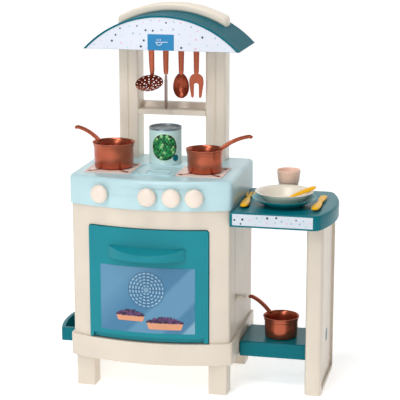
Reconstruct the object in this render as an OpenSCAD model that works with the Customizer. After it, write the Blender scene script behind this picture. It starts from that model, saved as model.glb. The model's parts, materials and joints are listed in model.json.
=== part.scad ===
// Toy kitchen on legs: an oven cabinet with a drop-down door, a worktop with two
// hob plates and four knobs, an arched hood on two posts with hanging utensils,
// and a side table with a lower shelf. Loose pans and tableware stand on it.
// Millimetres, +Z up, front towards -Y. Every part is drawn around the cabinet's
// centre line and front corners, then place() moves the origin to the middle of
// the whole kitchen's footprint on the floor.

/* [Cabinet] */
// Width of the oven cabinet
cab_w = 372; // [360:1:380]
// Depth from the front corners to the back panel
cab_d = 266; // [262:1:270]
// How far the middle of the front stands forward of its corners
bow = 37; // [34:1:40]
// Height of the plinth's lower edge
leg_h = 76; // [70:1:84]
// Height of the plinth's skirt
plinth_h = 51; // [48:1:54]
// Height of the worktop's surface
top_z = 508; // [500:1:516]
// Height of the worktop's apron
apron_h = 68; // [66:1:72]

/* [Oven door] */
// Width of the door
door_w = 280; // [270:1:284]
// Height of the door's upper edge
door_top = 395; // [380:1:398]
// Length of the cup pull
pull_w = 176; // [160:1:190]

/* [Posts and hood] */
// Distance between the posts
post_gap = 164; // [163:1:168]
// Width of each post
post_w = 48; // [44:1:50]
// Depth of each post
post_d = 55; // [50:1:55]
// Width of the hood
hood_w = 368; // [360:1:376]
// Depth of the hood
hood_d = 195; // [185:1:200]
// Height of the hood's lower edge
hood_z = 782; // [778:1:786]
// Rise of the hood's arch
hood_rise = 80; // [77:1:82]

/* [Side table] */
// Distance from the cabinet to the table's far edge
table_w = 228; // [224:1:234]
// Front-to-back size of the table
table_d = 264; // [258:1:266]
// Height of the table's edge band
table_edge = 33; // [30:1:36]
// Front-to-back size of the lower shelf
shelf_d = 138; // [130:1:142]

/* [Knobs] */
// Radius of a knob
knob_r = 21.5; // [19:0.5:23]
// How far a knob stands out
knob_h = 21; // [18:1:22]

/* [Hidden] */
$fn = 64;
eps = 0.01;
wall = 3;
gap = 0.3;

// Bowed plan shared by the front panel, door, plinth and apron: one centre, several radii
cab_hw = cab_w / 2;
bow_r = (cab_hw * cab_hw + bow * bow) / (2 * bow);
panel_y = 4;
bow_cy = panel_y - bow + bow_r;
apron_out = 4;
plinth_out = 6;
door_out = 5;
top_hw = cab_hw + apron_out;
plinth_hw = cab_hw + plinth_out;
plinth_top = leg_h + plinth_h;
apron_z = top_z - apron_h;
deck_z = top_z - wall;
seam_y = 22;
bead_r = 1.4;
bead_h = 270;
panel_top = apron_z + 7;
back_y = cab_d;

// Legs: hollow blocks whose tenons push up into the plinth
leg_size = [44, 46];
leg_tenon = [38, 40];
tenon_h = 24;
leg_centres_x = [-(cab_hw - 28), cab_hw - 28];
leg_centres_y = [24, back_y - 20];
screw_r = 2;
screw_hole_r = 2.1;

// Oven door
door_hw = door_w / 2;
door_sill = plinth_top + 3;
door_t = 15;
strip_h = 10.5;
strip_in = 7;
strip_t = 2;
strip_end = 9;
hinge_y = -23;
hinge_z = plinth_top + 15.5;
hinge_x = 40;
hinge_pin_r = 1.5;
knuckle_r = 3;
knuckle_l = 16;
ear_t = 2.5;
ear_gap = 0.4;
arm_back = 18;
arm_foot = 5;
clear = 1.5;
corner_r = 7;
corner_cut = 5;
pull_front = -67;
pull_z = 326;
pull_h = 27;
pull_end_y = -33;
pull_slope = 19;
window_w = 222;
window_z = [152, 307];
sticker_t = 0.4;

// Knobs: angles round the bow at which they stand
apron_r = bow_r + apron_out;
knob_x = [-107, 5, 59, 109];
knob_z = 472;
shaft_r = 4;
shaft_l = 13;
bearing_r = 8;
bearing_l = 8;
bore_r = shaft_r + 0.1;
dome_r = 27;

// Posts, arch and hood
post_in = post_gap / 2;
post_back = back_y + 3;
post_front = post_back - post_d;
tongue_l = 36;
tongue_in = 3.4;
hood_hw = hood_w / 2;
hood_r = (hood_hw * hood_hw + hood_rise * hood_rise) / (2 * hood_rise);
hood_cz = hood_z + hood_rise - hood_r;
hood_t = 4;
hood_y = 105;
hood_back = hood_y + hood_d;
fascia_in = 2;
arch_top = 880;
arch_hw = post_in + post_w;
arch_end = 847;
arch_sag = arch_top - arch_end;
peg = 16;
peg_z = 800;
post_wall = 6;
arch_r = (arch_hw * arch_hw + arch_sag * arch_sag) / (2 * arch_sag);
bar_z = 615;
bar_h = 12;
bar_stop_h = 25;
bar_block = 14;
bar_screw_y = [post_front + 20, post_back - 20];
rail_y = 195;
rail_z = 806;
rail_r = 3;
rail_hw = 96;

// Side table, leg panel, shelf and caddy
table_x = cab_hw + gap;
table_end = cab_hw + table_w;
table_y = -12;
table_back = table_y + table_d;
table_top = apron_z - 0.5;
table_z = table_top - table_edge;
table_bow = 28;
leg_x = [354, 393];
leg_y = [40, 250];
tongue_y = [60, 190];
leg_face = 387;
shelf_x = plinth_hw + gap;
shelf_y = 82;
shelf_top = 107;
shelf_z = 72;
leg_rim = 9;
spigot = [165, 89.5];
spigot_r = 13;
caddy_y = [92, 256];
caddy_end = -258;
caddy_bow = 12;
caddy_z = [74, 107];
tab_l = 7;
tab_w = 24;
tab_t = 4;
shelf_tab_y = [shelf_y + 30, shelf_y + shelf_d - 30];
caddy_tab_y = [caddy_y[0] + 40, caddy_y[1] - 40];
table_tab_y = [table_y + 60, table_back - 46];

// Middle of the whole kitchen's footprint
origin = [(table_end + caddy_end) / 2, (hood_back + pull_front) / 2];

// Accessories: where they stand
hob_size = [109, 110];
hob_at = [[-108, 80], [107, 80]];
hob_t = 2;
hob_rim = 5;
hob_ring_r = 26;
hob_bar_w = 6;
pan_at = [[-109, 92], [110, 81]];
pan_turn = [154, 30];
pan_z = top_z + hob_t + 0.2;
large_pan = [47, 59];
middle_pan = [41, 54];
small_pan = [40, 51];
small_pan_at = [282, 143];
small_pan_turn = 142;
handle_w = 9;
handle_t = 8.5;
can_at = [-5.5, 173];
can_r = 40;
can_h = 87.5;
plate_at = [294, 90];
bowl_lift = 3.6;
cup_at = [287, 194];
fork_at = [211, 26];
knife_at = [372, 28];
spoon_at = [366, 108];
spoon_lift = 36.8;
spoon_turn = 125;
spoon_tilt = 16;
spoon_head = 84;
utensil_x = [-45, -9, 28, 64.5];
handle_top = 28;
handle_foot = 88.5;
handle_top_r = 7.6;
handle_foot_r = 5.8;
skimmer_lean = 6;
skimmer_neck = 10;
dish_tilt = 22;
dish_r = 33;
blade_t = 3;
blade_hw = 11;
fork_head_r = 17.2;

cream = "antiquewhite";
pale_blue = "lightblue";
teal = "teal";
copper = "sienna";
yellow = "gold";

// ---- shared shapes ----

// Moves the drawing's origin to the middle of the footprint
module place() {
    translate([-origin[0], -origin[1], 0]) children();
}

module rounded_rect(w, d, r) {
    square([w - 2 * r, d], center = true);
    square([w, d - 2 * r], center = true);
    for (x = [-1, 1], y = [-1, 1])
        translate([x * (w / 2 - r), y * (d / 2 - r)]) circle(r);
}

// Plan with a bowed front of radius rad and filleted front corners
module bow_plan(rad, hw, back, r = 10) {
    cx = hw - r;
    cy = bow_cy - sqrt((rad - r) * (rad - r) - cx * cx);
    tx = cx * rad / (rad - r);
    intersection() {
        translate([0, bow_cy]) circle(rad, $fn = 256);
        translate([-tx, bow_cy - rad]) square([2 * tx, back - bow_cy + rad]);
    }
    translate([-hw, cy]) square([2 * hw, back - cy]);
    for (s = [-1, 1]) translate([s * cx, cy]) circle(r);
}

// Plan between two bow radii, kept within a half width
module bow_band(outer, inner, hw) {
    intersection() {
        difference() {
            translate([0, bow_cy]) circle(outer, $fn = 256);
            translate([0, bow_cy]) circle(inner, $fn = 256);
        }
        translate([-hw, bow_cy - outer]) square([2 * hw, 60]);
    }
}

module box(x, y, z) {
    translate([x[0], y[0], z[0]]) cube([x[1] - x[0], y[1] - y[0], z[1] - z[0]]);
}

// Upright rounded rectangle pushed through the bowed front
module front_cut(hw, z0, z1, r, y0 = -60, y1 = 12) {
    translate([0, y1, (z0 + z1) / 2]) rotate([90, 0, 0])
        linear_extrude(y1 - y0) rounded_rect(2 * hw, z1 - z0, r);
}

// ---- cabinet ----

module plinth() {
    ear_x = (knuckle_l + ear_t) / 2 + ear_gap;
    color(cream) difference() {
        union() {
            plinth_shell();
            for (s = [-1, 1], e = [-1, 1]) hinge_ear(s * hinge_x + e * ear_x);
        }
        for (x = leg_centres_x, y = leg_centres_y)
            translate([x, y, leg_h - 1]) linear_extrude(tenon_h + 2)
                rounded_rect(leg_tenon[0] + 2 * gap, leg_tenon[1] + 2 * gap, 3);
        for (s = [-1, 1])
            translate([s * hinge_x, hinge_y, hinge_z]) rotate([0, 90, 0])
                cylinder(r = hinge_pin_r, h = knuckle_l + 12, center = true, $fn = 32);
        tabs(shelf_x + 1, 1, shelf_tab_y, shelf_z + 12, gap);
        tabs(-shelf_x - 1, -1, caddy_tab_y, caddy_z[0] + 12, gap);
    }
}

// Skirt and deck, with a block left solid over each leg
module plinth_shell() {
    difference() {
        translate([0, 0, leg_h]) linear_extrude(plinth_h)
            bow_plan(bow_r + plinth_out, plinth_hw, back_y + 2);
        difference() {
            translate([0, 0, leg_h - eps]) linear_extrude(plinth_h - wall)
                bow_plan(bow_r + plinth_out - wall, plinth_hw - wall, back_y + 2 - wall, 7);
            for (x = leg_centres_x, y = leg_centres_y)
                translate([x, y, leg_h - 1]) linear_extrude(plinth_h)
                    rounded_rect(leg_size[0], leg_size[1], 4);
        }
    }
}

// Arm that reaches forward over the deck to hold one end of a hinge pin
module hinge_ear(x) {
    translate([x, hinge_y, hinge_z]) {
        rotate([0, 90, 0]) cylinder(r = knuckle_r, h = ear_t, center = true, $fn = 32);
        box([-ear_t / 2, ear_t / 2], [0, arm_back], [-knuckle_r, knuckle_r]);
        box([-ear_t / 2, ear_t / 2], [arm_back - arm_foot, arm_back], [plinth_top - 1 - hinge_z, 0]);
    }
}

// Pair of flat tabs that hook an add-on into a side wall; grow makes their slots
module tabs(x, dir, ys, z, grow = 0) {
    for (y = ys) translate([x, y, z])
        translate([dir > 0 ? -tab_l : 0, -tab_w / 2 - grow, -grow])
            cube([tab_l, tab_w + 2 * grow, tab_t + 2 * grow]);
}

module leg(x, y) {
    color(cream) translate([x, y, 0]) difference() {
        union() {
            linear_extrude(leg_h) rounded_rect(leg_size[0], leg_size[1], 4);
            translate([0, 0, leg_h - eps]) linear_extrude(tenon_h)
                rounded_rect(leg_tenon[0], leg_tenon[1], 3);
        }
        translate([0, 0, wall]) linear_extrude(leg_h + tenon_h)
            rounded_rect(leg_tenon[0] - 2 * wall, leg_tenon[1] - 2 * wall, 2);
    }
}

module front_panel() {
    color(cream) difference() {
        union() {
            difference() {
                translate([0, 0, plinth_top]) linear_extrude(panel_top - plinth_top)
                    bow_plan(bow_r, cab_hw, seam_y);
                translate([0, 0, plinth_top - 1]) linear_extrude(panel_top)
                    bow_plan(bow_r - wall, cab_hw - wall, seam_y + 1, 7);
            }
            intersection() {
                front_cut(door_hw + clear + wall, plinth_top, door_top + clear + wall,
                    corner_r + wall + 1, -60, 6);
                translate([0, 0, plinth_top]) linear_extrude(panel_top)
                    bow_plan(bow_r - 1, cab_hw - 1, seam_y, 9);
            }
        }
        front_cut(door_hw + clear, plinth_top - 20, door_top + clear, corner_r + 1, -60, 20);
    }
}

// Flat side with two stiffening ribs inside and a slim upright bead outside
module side_panel(s) {
    color(cream) difference() {
        mirror([s < 0 ? 1 : 0, 0, 0]) {
            box([cab_hw - wall, cab_hw], [seam_y + gap, back_y - wall - gap], [plinth_top, deck_z]);
            for (y = [seam_y + 50, back_y - 80])
                box([cab_hw - 11, cab_hw - wall + eps], [y, y + 3], [plinth_top, deck_z - 1]);
            translate([cab_hw - 0.4, seam_y + 39, plinth_top]) cylinder(r = bead_r, h = bead_h, $fn = 24);
        }
        if (s > 0) tabs(table_x + 1, 1, table_tab_y, table_z + 12, gap);
    }
}

module back_panel() {
    inner = cab_hw - gap;
    color(cream) difference() {
        union() {
            box([-inner, inner], [back_y - wall, back_y], [plinth_top, apron_z - gap]);
            for (z = [plinth_top + 70, plinth_top + 150, plinth_top + 230])
                box([-inner + 30, inner - 30], [back_y - wall - 6, back_y - wall + eps], [z, z + 3]);
        }
        for (p = screw_places()) translate([p[0], back_y + 1, p[1]]) rotate([90, 0, 0])
            cylinder(r = screw_hole_r, h = 6, $fn = 32);
    }
}

function screw_places() = [
    for (x = [-cab_hw + 14, cab_hw - 14], z = [plinth_top + 25, plinth_top + 160, apron_z - 20]) [x, z]
];

module panel_screws() {
    color("silver") for (p = screw_places()) translate([p[0], back_y, p[1]]) screw();
}

// Pan-head screw, head towards +Y
module screw(l = 12) {
    rotate([90, 0, 0]) cylinder(r = screw_r, h = l, $fn = 32);
    difference() {
        rotate([-90, 0, 0]) cylinder(r1 = 4, r2 = 3.2, h = 2, $fn = 32);
        for (a = [0, 90]) translate([0, 1.6, 0]) rotate([0, a, 0]) cube([4.4, 1.6, 0.9], center = true);
    }
}

// ---- oven door ----

// Bowed hollow shell with a shallow recess along its foot and knuckles behind it
module oven_door() {
    r_out = bow_r + door_out;
    web_z = door_sill + strip_h;
    color(teal) difference() {
        union() {
            translate([0, 0, door_sill]) linear_extrude(door_top - door_sill)
                bow_band(r_out, r_out - door_t, door_hw);
            for (s = [-1, 1]) translate([s * hinge_x, hinge_y, hinge_z]) rotate([0, 90, 0])
                cylinder(r = knuckle_r, h = knuckle_l, center = true, $fn = 32);
        }
        for (s = [-1, 1]) translate([s * door_hw, 0, door_top]) rotate([0, 45, 0])
            cube([corner_cut * sqrt(2), 100, corner_cut * sqrt(2)], center = true);
        translate([0, 0, door_sill - 1]) linear_extrude(strip_h + 1)
            bow_band(r_out + 1, r_out - strip_in, door_hw - strip_end);
        door_hollow(r_out, web_z);
        for (s = [-1, 1]) translate([s * hinge_x, hinge_y, hinge_z]) {
            rotate([0, 90, 0])
                cylinder(r = hinge_pin_r + 0.1, h = knuckle_l + 2, center = true, $fn = 32);
            for (e = [-1, 1]) translate([e * ((knuckle_l + ear_t) / 2 + ear_gap), 0, 0])
                ear_pocket();
        }
    }
}

// Space behind the door's skin, crossed by three upright ribs
module door_hollow(r_out, web_z) {
    difference() {
        translate([0, 0, web_z + wall]) linear_extrude(door_top - web_z - 2 * wall)
            bow_band(r_out - wall, r_out - door_t - 5, door_hw - wall);
        for (x = [-74, 0, 74]) box([x - 1, x + 1], [-60, 30], [web_z, door_top]);
    }
    difference() {
        translate([0, 0, door_sill - 1]) linear_extrude(strip_h + 1)
            bow_band(r_out - strip_in - strip_t, r_out - door_t - 5, door_hw - wall);
        for (s = [-1, 1]) translate([s * hinge_x, hinge_y, hinge_z]) rotate([0, 90, 0])
            cylinder(r = knuckle_r, h = knuckle_l, center = true, $fn = 32);
    }
}

// Room in the web for a hinge arm as the door swings
module ear_pocket() {
    half = ear_t / 2 + ear_gap;
    box([-half, half], [-knuckle_r - gap, 30], [-30, knuckle_r + gap]);
}

module hinge_pin(s) {
    color("silver") translate([s * hinge_x, hinge_y, hinge_z]) rotate([0, 90, 0])
        cylinder(r = hinge_pin_r - 0.02, h = knuckle_l + 2 * (ear_gap + ear_t), center = true, $fn = 32);
}

// Crescent cup pull with a sloping roof, open below and closed by the door behind
module door_pull() {
    hw = pull_w / 2;
    sag = pull_end_y - pull_front;
    r = (hw * hw + sag * sag) / (2 * sag);
    face = bow_r + door_out;
    color(teal) difference() {
        translate([0, 0, pull_z]) linear_extrude(pull_h) difference() {
            translate([0, pull_front + r]) circle(r, $fn = 128);
            translate([0, bow_cy]) circle(face, $fn = 256);
        }
        difference() {
            translate([0, 0, pull_z - 1]) linear_extrude(pull_h + 2) difference() {
                translate([0, pull_front + r]) circle(r - 4, $fn = 128);
                translate([0, bow_cy]) circle(face - 1, $fn = 256);
            }
            above_pull(pull_z + pull_h - wall);
        }
        above_pull(pull_z + pull_h);
        box([-200, 200], [pull_end_y + 2, 300], [pull_z - 2, pull_z + pull_h + 2]);
    }
}

// Room over a roof that falls towards the pull's lip from height z at its ends
module above_pull(z) {
    translate([-200, pull_end_y, z]) rotate([pull_slope, 0, 0]) translate([0, -100, 0]) cube([400, 140, 60]);
}

module door_window_sticker() {
    color("steelblue") translate([0, 0, window_z[0]]) linear_extrude(window_z[1] - window_z[0])
        bow_band(bow_r + door_out + sticker_t, bow_r + door_out, window_w / 2);
}

// ---- worktop ----

module worktop() {
    color(pale_blue) difference() {
        union() {
            difference() {
                translate([0, 0, apron_z]) linear_extrude(apron_h)
                    bow_plan(apron_r, top_hw, back_y + 4, 14);
                translate([0, 0, apron_z - 1]) linear_extrude(apron_h - wall + 1)
                    bow_plan(apron_r - wall, top_hw - wall, back_y + 4 - wall, 11);
            }
            for (x = knob_x) at_knob(x) translate([0, 0, -bearing_l])
                cylinder(r = bearing_r, h = bearing_l - 1);
        }
        for (x = knob_x) at_knob(x) translate([0, 0, -bearing_l - 1]) cylinder(r = bore_r, h = 20);
        for (s = [-1, 1]) translate([s * (post_in + post_w / 2), post_front + post_d / 2, deck_z - 1])
            linear_extrude(wall + 2) rounded_rect(post_w - 6, post_d - 6, 2);
    }
}

// Local frame of a knob: origin on the apron's face, +Z straight out of it
module at_knob(x) {
    translate([0, bow_cy, knob_z]) rotate([0, 0, asin(x / apron_r)])
        translate([0, -apron_r, 0]) rotate([90, 0, 0]) children();
}

module knob(x) {
    color(cream) at_knob(x) {
        difference() {
            intersection() {
                translate([0, 0, 1]) cylinder(r = knob_r, h = knob_h - 1);
                translate([0, 0, knob_h - dome_r]) sphere(dome_r, $fn = 96);
            }
            translate([0, 0, -1]) cylinder(r = knob_r - 7, h = 8);
        }
        translate([0, 0, -shaft_l]) cylinder(r = shaft_r, h = shaft_l + 12);
    }
}

module knob_clip(x) {
    color("white") at_knob(x) translate([0, 0, -bearing_l - 3]) difference() {
        cylinder(r = bearing_r, h = 2.4);
        translate([0, 0, -1]) cylinder(r = shaft_r + 0.01, h = 5);
    }
}

// Square plate with a raised pan support: rim, ring and four bars
module hob_plate(at) {
    color(cream) translate([at[0], at[1], top_z]) difference() {
        linear_extrude(hob_t) rounded_rect(hob_size[0], hob_size[1], 4);
        translate([0, 0, 1]) linear_extrude(hob_t) difference() {
            rounded_rect(hob_size[0] - 2 * hob_rim, hob_size[1] - 2 * hob_rim, 3);
            circle(hob_ring_r);
            for (a = [45, 135]) rotate(a) square([150, hob_bar_w], center = true);
        }
    }
}

// ---- posts, crossbar, arch and hood ----

module post_outline() {
    difference() {
        rounded_rect(post_w, post_d, 5);
        translate([0, -post_d / 2]) rotate(45) square(4, center = true);
    }
}

module post(s) {
    cy = post_front + post_d / 2;
    color(cream) intersection() {
        translate([s * (post_in + post_w / 2), cy, 0]) difference() {
            union() {
                translate([0, 0, top_z]) linear_extrude(360) post_outline();
                translate([0, 0, top_z - tongue_l]) linear_extrude(tongue_l + 1)
                    rounded_rect(post_w - 2 * tongue_in, post_d - 2 * tongue_in, 2);
            }
            difference() {
                translate([0, 4, top_z - tongue_l - 1]) linear_extrude(500)
                    square([post_w - 2 * post_wall, post_d], center = true);
                for (z = [top_z, top_z + 75, top_z + 150, top_z + 225])
                    translate([0, 0, z]) linear_extrude(2) square(200, center = true);
            }
        }
        post_keep();
    }
}

// Everything under the hood's shell, apart from the crossbar's screw holes
module post_keep() {
    difference() {
        hood_arc(hood_r - hood_t - 0.2, 0, 400, 0);
        bar_screw_holes();
    }
}

module bar_screw_holes() {
    for (s = [-1, 1], y = bar_screw_y)
        translate([s * (post_in + post_wall + 1), y, bar_z + bar_h / 2]) rotate([0, -s * 90, 0])
            cylinder(r = screw_hole_r, h = 14, $fn = 32);
}

// Slab under an arc about the hood's centre, from y0 to y1
module hood_arc(r, y0, y1, z_low) {
    intersection() {
        translate([0, y1, hood_cz]) rotate([90, 0, 0]) cylinder(r = r, h = y1 - y0, $fn = 256);
        box([-400, 400], [y0, y1], [z_low, 1000]);
    }
}

// Shelf between the posts: hollow below between two solid ends, with a back stop
module crossbar() {
    color(cream) difference() {
        translate([-post_in, 0, 0]) rotate([90, 0, 90]) linear_extrude(post_gap) polygon([
            [post_front, bar_z], [post_front, bar_z + bar_h], [post_back - 20, bar_z + bar_h],
            [post_back - 14, bar_z + bar_stop_h], [post_back, bar_z + bar_stop_h], [post_back, bar_z]
        ]);
        box([-post_in + bar_block, post_in - bar_block], [post_front + wall, post_back - wall],
            [bar_z - 1, bar_z + bar_h - wall]);
        bar_screw_holes();
    }
}

module crossbar_screws() {
    color("silver") for (s = [-1, 1], y = bar_screw_y)
        translate([s * (post_in + post_wall), y, bar_z + bar_h / 2]) rotate([0, 0, -s * 90]) screw(10);
}

// Cream band over the hood, pegged through it into the hollow posts
module top_arch() {
    color(cream) {
        difference() {
            intersection() {
                translate([0, post_back, arch_top - arch_r]) rotate([90, 0, 0])
                    cylinder(r = arch_r, h = post_d, $fn = 256);
                box([-arch_hw, arch_hw], [post_front, post_back], [700, 900]);
            }
            hood_arc(hood_r, post_front - 1, post_back + 1, 600);
        }
        arch_pegs(peg, peg_z, arch_end);
    }
}

module arch_pegs(size, z0, z1) {
    for (s = [-1, 1])
        translate([s * (post_in + post_w / 2), post_front + post_d / 2 + 8, (z0 + z1) / 2])
            cube([size, size, z1 - z0], center = true);
}

module hood() {
    color(teal) difference() {
        hood_arc(hood_r, hood_y, hood_back, hood_z);
        hood_arc(hood_r - hood_t, hood_y + fascia_in + wall, hood_back + 1, hood_z - 1);
        hood_arc(hood_r - hood_t, hood_y - 1, hood_y + fascia_in, hood_z - 1);
        arch_pegs(peg + 2 * gap, peg_z, arch_end + 10);
    }
}

module hood_sticker() {
    y = hood_y + fascia_in;
    color("white") hood_arc(hood_r - hood_t - 0.5, y - sticker_t, y, hood_z + 0.5);
}

// Round rail on two arms that reach back to the posts' front faces
module utensil_rail() {
    color(cream) {
        translate([-rail_hw, rail_y, rail_z]) rotate([0, 90, 0]) cylinder(r = rail_r, h = 2 * rail_hw);
        for (s = [-1, 1]) translate([s * (rail_hw - 2), 0, 0]) {
            box([-3, 3], [rail_y, post_front], [rail_z - 5, rail_z + 5]);
            translate([-3, rail_y, rail_z]) rotate([0, 90, 0]) cylinder(r = 5, h = 6);
        }
    }
}

// ---- side table ----

// Plan from the cabinet side to a far edge that bows outward
module table_plan(inset = 0, r = 22) {
    half = table_d / 2;
    rad = (half * half + table_bow * table_bow) / (2 * table_bow);
    mid = table_y + half;
    intersection() {
        translate([table_end - rad, mid]) circle(rad - inset, $fn = 256);
        translate([(table_x + table_end) / 2, mid])
            rounded_rect(table_w - gap - 2 * inset + 16, table_d - 2 * inset, r - inset);
        translate([table_x + inset, table_y]) square([table_w, table_d]);
    }
}

module table_top() {
    color(teal) {
        difference() {
            translate([0, 0, table_z]) linear_extrude(table_edge) table_plan();
            translate([0, 0, table_z - 1]) linear_extrude(table_edge - wall + 1) table_plan(wall);
        }
        tabs(table_x + eps, 1, table_tab_y, table_z + 12);
    }
}

module table_sticker() {
    color("white") translate([table_x + 98, table_y, table_z + 17]) rotate([90, 0, 0])
        linear_extrude(sticker_t) rounded_rect(182, 26, 1);
}

// Tray-shaped panel that carries the table's far end on two tongues
module table_leg_panel() {
    w = leg_y[1] - leg_y[0];
    color(cream) {
        difference() {
            leg_slab(leg_x[0], leg_x[1], w, table_z - gap, 8);
            leg_slab(leg_x[0] - 1, leg_face - wall, w - 2 * wall, table_z - 2 * wall - gap, 5);
            leg_slab(leg_face, leg_x[1] + 1, w - 2 * leg_rim, table_z - 24, 6);
            translate([leg_face - 10, spigot[0], spigot[1]]) rotate([0, 90, 0])
                cylinder(r = spigot_r + gap, h = 20);
        }
        for (y = tongue_y)
            box([leg_x[0] + 3, leg_face - wall], [y, y + 30], [table_z - 2, table_top - wall - gap]);
    }
}

// Upright rounded slab between two values of x
module leg_slab(x0, x1, w, h, r) {
    translate([x0, (leg_y[0] + leg_y[1]) / 2, (table_z - gap) / 2]) rotate([90, 0, 90])
        linear_extrude(x1 - x0) rounded_rect(w, h, r);
}

module lower_shelf() {
    end = leg_face - wall - gap;
    color(teal) {
        difference() {
            box([shelf_x, end], [shelf_y, shelf_y + shelf_d], [shelf_z, shelf_top]);
            box([shelf_x + wall, end - wall], [shelf_y + wall, shelf_y + shelf_d - wall],
                [shelf_z - 1, shelf_top - wall]);
        }
        translate([end - 1, spigot[0], spigot[1]]) rotate([0, 90, 0]) cylinder(r = spigot_r, h = 6);
        tabs(shelf_x + eps, 1, shelf_tab_y, shelf_z + 12);
    }
}

// D-shaped bin on the cabinet's left side
module caddy_plan(inset = 0) {
    half = (caddy_y[1] - caddy_y[0]) / 2;
    mid = (caddy_y[0] + caddy_y[1]) / 2;
    rad = (half * half + caddy_bow * caddy_bow) / (2 * caddy_bow);
    wide = -plinth_hw - gap - caddy_end;
    intersection() {
        translate([caddy_end + rad, mid]) circle(rad - inset, $fn = 256);
        translate([caddy_end + wide / 2 + 6, mid])
            rounded_rect(wide + 12 - 2 * inset, 2 * half - 2 * inset, 16 - inset);
        translate([caddy_end, caddy_y[0]]) square([wide - inset, 2 * half]);
    }
}

module side_caddy() {
    color(teal) {
        difference() {
            translate([0, 0, caddy_z[0]]) linear_extrude(caddy_z[1] - caddy_z[0]) caddy_plan();
            translate([0, 0, caddy_z[0] + wall]) linear_extrude(40) caddy_plan(9);
        }
        tabs(-shelf_x - eps, -1, caddy_tab_y, caddy_z[0] + 12);
    }
}

// ---- hanging utensils ----

// Leans a utensil back about the rail so that it hangs in balance
module rotate_about_rail(a) {
    translate([0, rail_y, rail_z]) rotate([a, 0, 0]) translate([0, -rail_y, -rail_z]) children();
}

// Open hook over the rail, then a tapering handle; children() hang below it
module utensil(x) {
    color(copper) translate([x, rail_y, rail_z]) {
        rotate([0, 90, 0]) difference() {
            cylinder(r = rail_r + 3, h = 7, center = true, $fn = 48);
            cylinder(r = rail_r + 0.4, h = 9, center = true, $fn = 48);
            translate([3.6, 4, 0]) rotate([0, 0, 45]) cube([7, 3.6, 9], center = true);
        }
        translate([0, 0, -handle_foot])
            cylinder(r1 = handle_foot_r, r2 = handle_top_r, h = handle_foot - handle_top);
        translate([0, 0, -handle_top - eps])
            cylinder(r1 = handle_top_r, r2 = 3, h = handle_top - rail_r - 1);
        children();
    }
}

// Perforated dish that reaches forward and down from the handle's foot
module skimmer() {
    rotate_about_rail(skimmer_lean) utensil(utensil_x[0]) {
        translate([0, 0, -handle_foot - skimmer_neck])
            cylinder(r1 = 4.4, r2 = handle_foot_r, h = skimmer_neck + eps);
        translate([0, -dish_r * cos(dish_tilt) + 1,
            -handle_foot - skimmer_neck + 3 - dish_r * sin(dish_tilt)])
            rotate([dish_tilt, 0, 0]) dish(dish_r, 8, 2);
    }
}

// Shallow round dish, hollow side up
module dish(r, depth, t) {
    rad = (r * r + depth * depth) / (2 * depth);
    difference() {
        intersection() {
            translate([0, 0, rad - depth]) sphere(rad, $fn = 96);
            translate([0, 0, -depth]) cylinder(r = r, h = depth);
        }
        translate([0, 0, rad - depth]) sphere(rad - t, $fn = 96);
    }
}

// Flat blade seen edge-on from the front
module palette_knife() {
    blade_l = 75;
    utensil(utensil_x[1]) translate([0, 0, -handle_foot]) rotate([0, 90, 0])
        linear_extrude(blade_t, center = true) {
            translate([blade_l, 0]) circle(blade_hw);
            translate([-2, -6]) square([20, 12]);
            translate([18, -blade_hw]) square([blade_l - 18, 2 * blade_hw]);
        }
}

module serving_spoon() {
    utensil(utensil_x[2]) {
        translate([0, 0, -handle_foot - 4]) cylinder(r1 = 4, r2 = handle_foot_r, h = 5);
        translate([0, -2, -handle_foot - 28]) resize([39, 16, 60]) difference() {
            sphere(10, $fn = 32);
            translate([0, -1.6, 0]) sphere(9, $fn = 32);
            translate([0, -10, 0]) cube([30, 20, 30], center = true);
        }
    }
}

// Round-shouldered head with a slot between two tapering tines
module carving_fork() {
    head_z = -103.5;
    tip_z = -144.5;
    utensil(utensil_x[3]) rotate([90, 0, 0]) linear_extrude(5, center = true) difference() {
        union() {
            translate([0, head_z]) circle(fork_head_r);
            translate([-4, head_z + 6]) square([8, 14]);
            polygon([[-fork_head_r, head_z], [-11.5, tip_z], [11.5, tip_z], [fork_head_r, head_z]]);
        }
        translate([0, head_z - 6]) circle(6);
        polygon([[-6, head_z - 6], [-5, tip_z - 1], [5, tip_z - 1], [6, head_z - 6]]);
    }
}

// ---- pans, can and tableware ----

// Saucepan standing at the origin, handle towards +X
module saucepan(size) {
    r = size[0];
    h = size[1];
    color(copper) {
        rotate_extrude() polygon([
            [0, 0], [r - 6, 0], [r - 2.5, 3], [r, h - 4], [r + 2.8, h - 1.5], [r + 3, h],
            [r, h - 0.6], [r - 2, h - 3.5], [r - 4.4, 4.4], [r - 7, 2], [0, 2]
        ]);
        difference() {
            translate([0, handle_w / 2, 0]) rotate([90, 0, 0]) linear_extrude(handle_w) handle_outline(r, h);
            translate([0, 0, 10]) cylinder(r = r - 1, h = h + 20);
        }
    }
}

// Side view of a handle that rises from the rim and turns down at its tip
module handle_outline(r, h) {
    rise_r = 130;
    tip_r = 8;
    from = 127;
    to = 95;
    centre = [r - 2 - rise_r * cos(from), h - 4 - rise_r * sin(from)];
    translate(centre) arc_strip(rise_r, from, to);
    translate(centre + (rise_r - tip_r) * [cos(to), sin(to)]) arc_strip(tip_r, to + 1, to - 62);
}

// Strip of handle thickness along an arc about the origin
module arc_strip(r, from, to) {
    reach = r + handle_t;
    intersection() {
        difference() {
            circle(r + handle_t / 2, $fn = 128);
            circle(r - handle_t / 2, $fn = 128);
        }
        polygon([
            [0, 0], 1.5 * reach * [cos(from), sin(from)],
            1.5 * reach * [cos((from + to) / 2), sin((from + to) / 2)], 1.5 * reach * [cos(to), sin(to)]
        ]);
    }
}

module can_body() {
    color("lightsteelblue") translate([can_at[0], can_at[1], top_z + 0.2]) difference() {
        cylinder(r = can_r, h = can_h - 2);
        translate([0, 0, 2]) cylinder(r = can_r - 1.5, h = can_h);
    }
}

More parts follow.
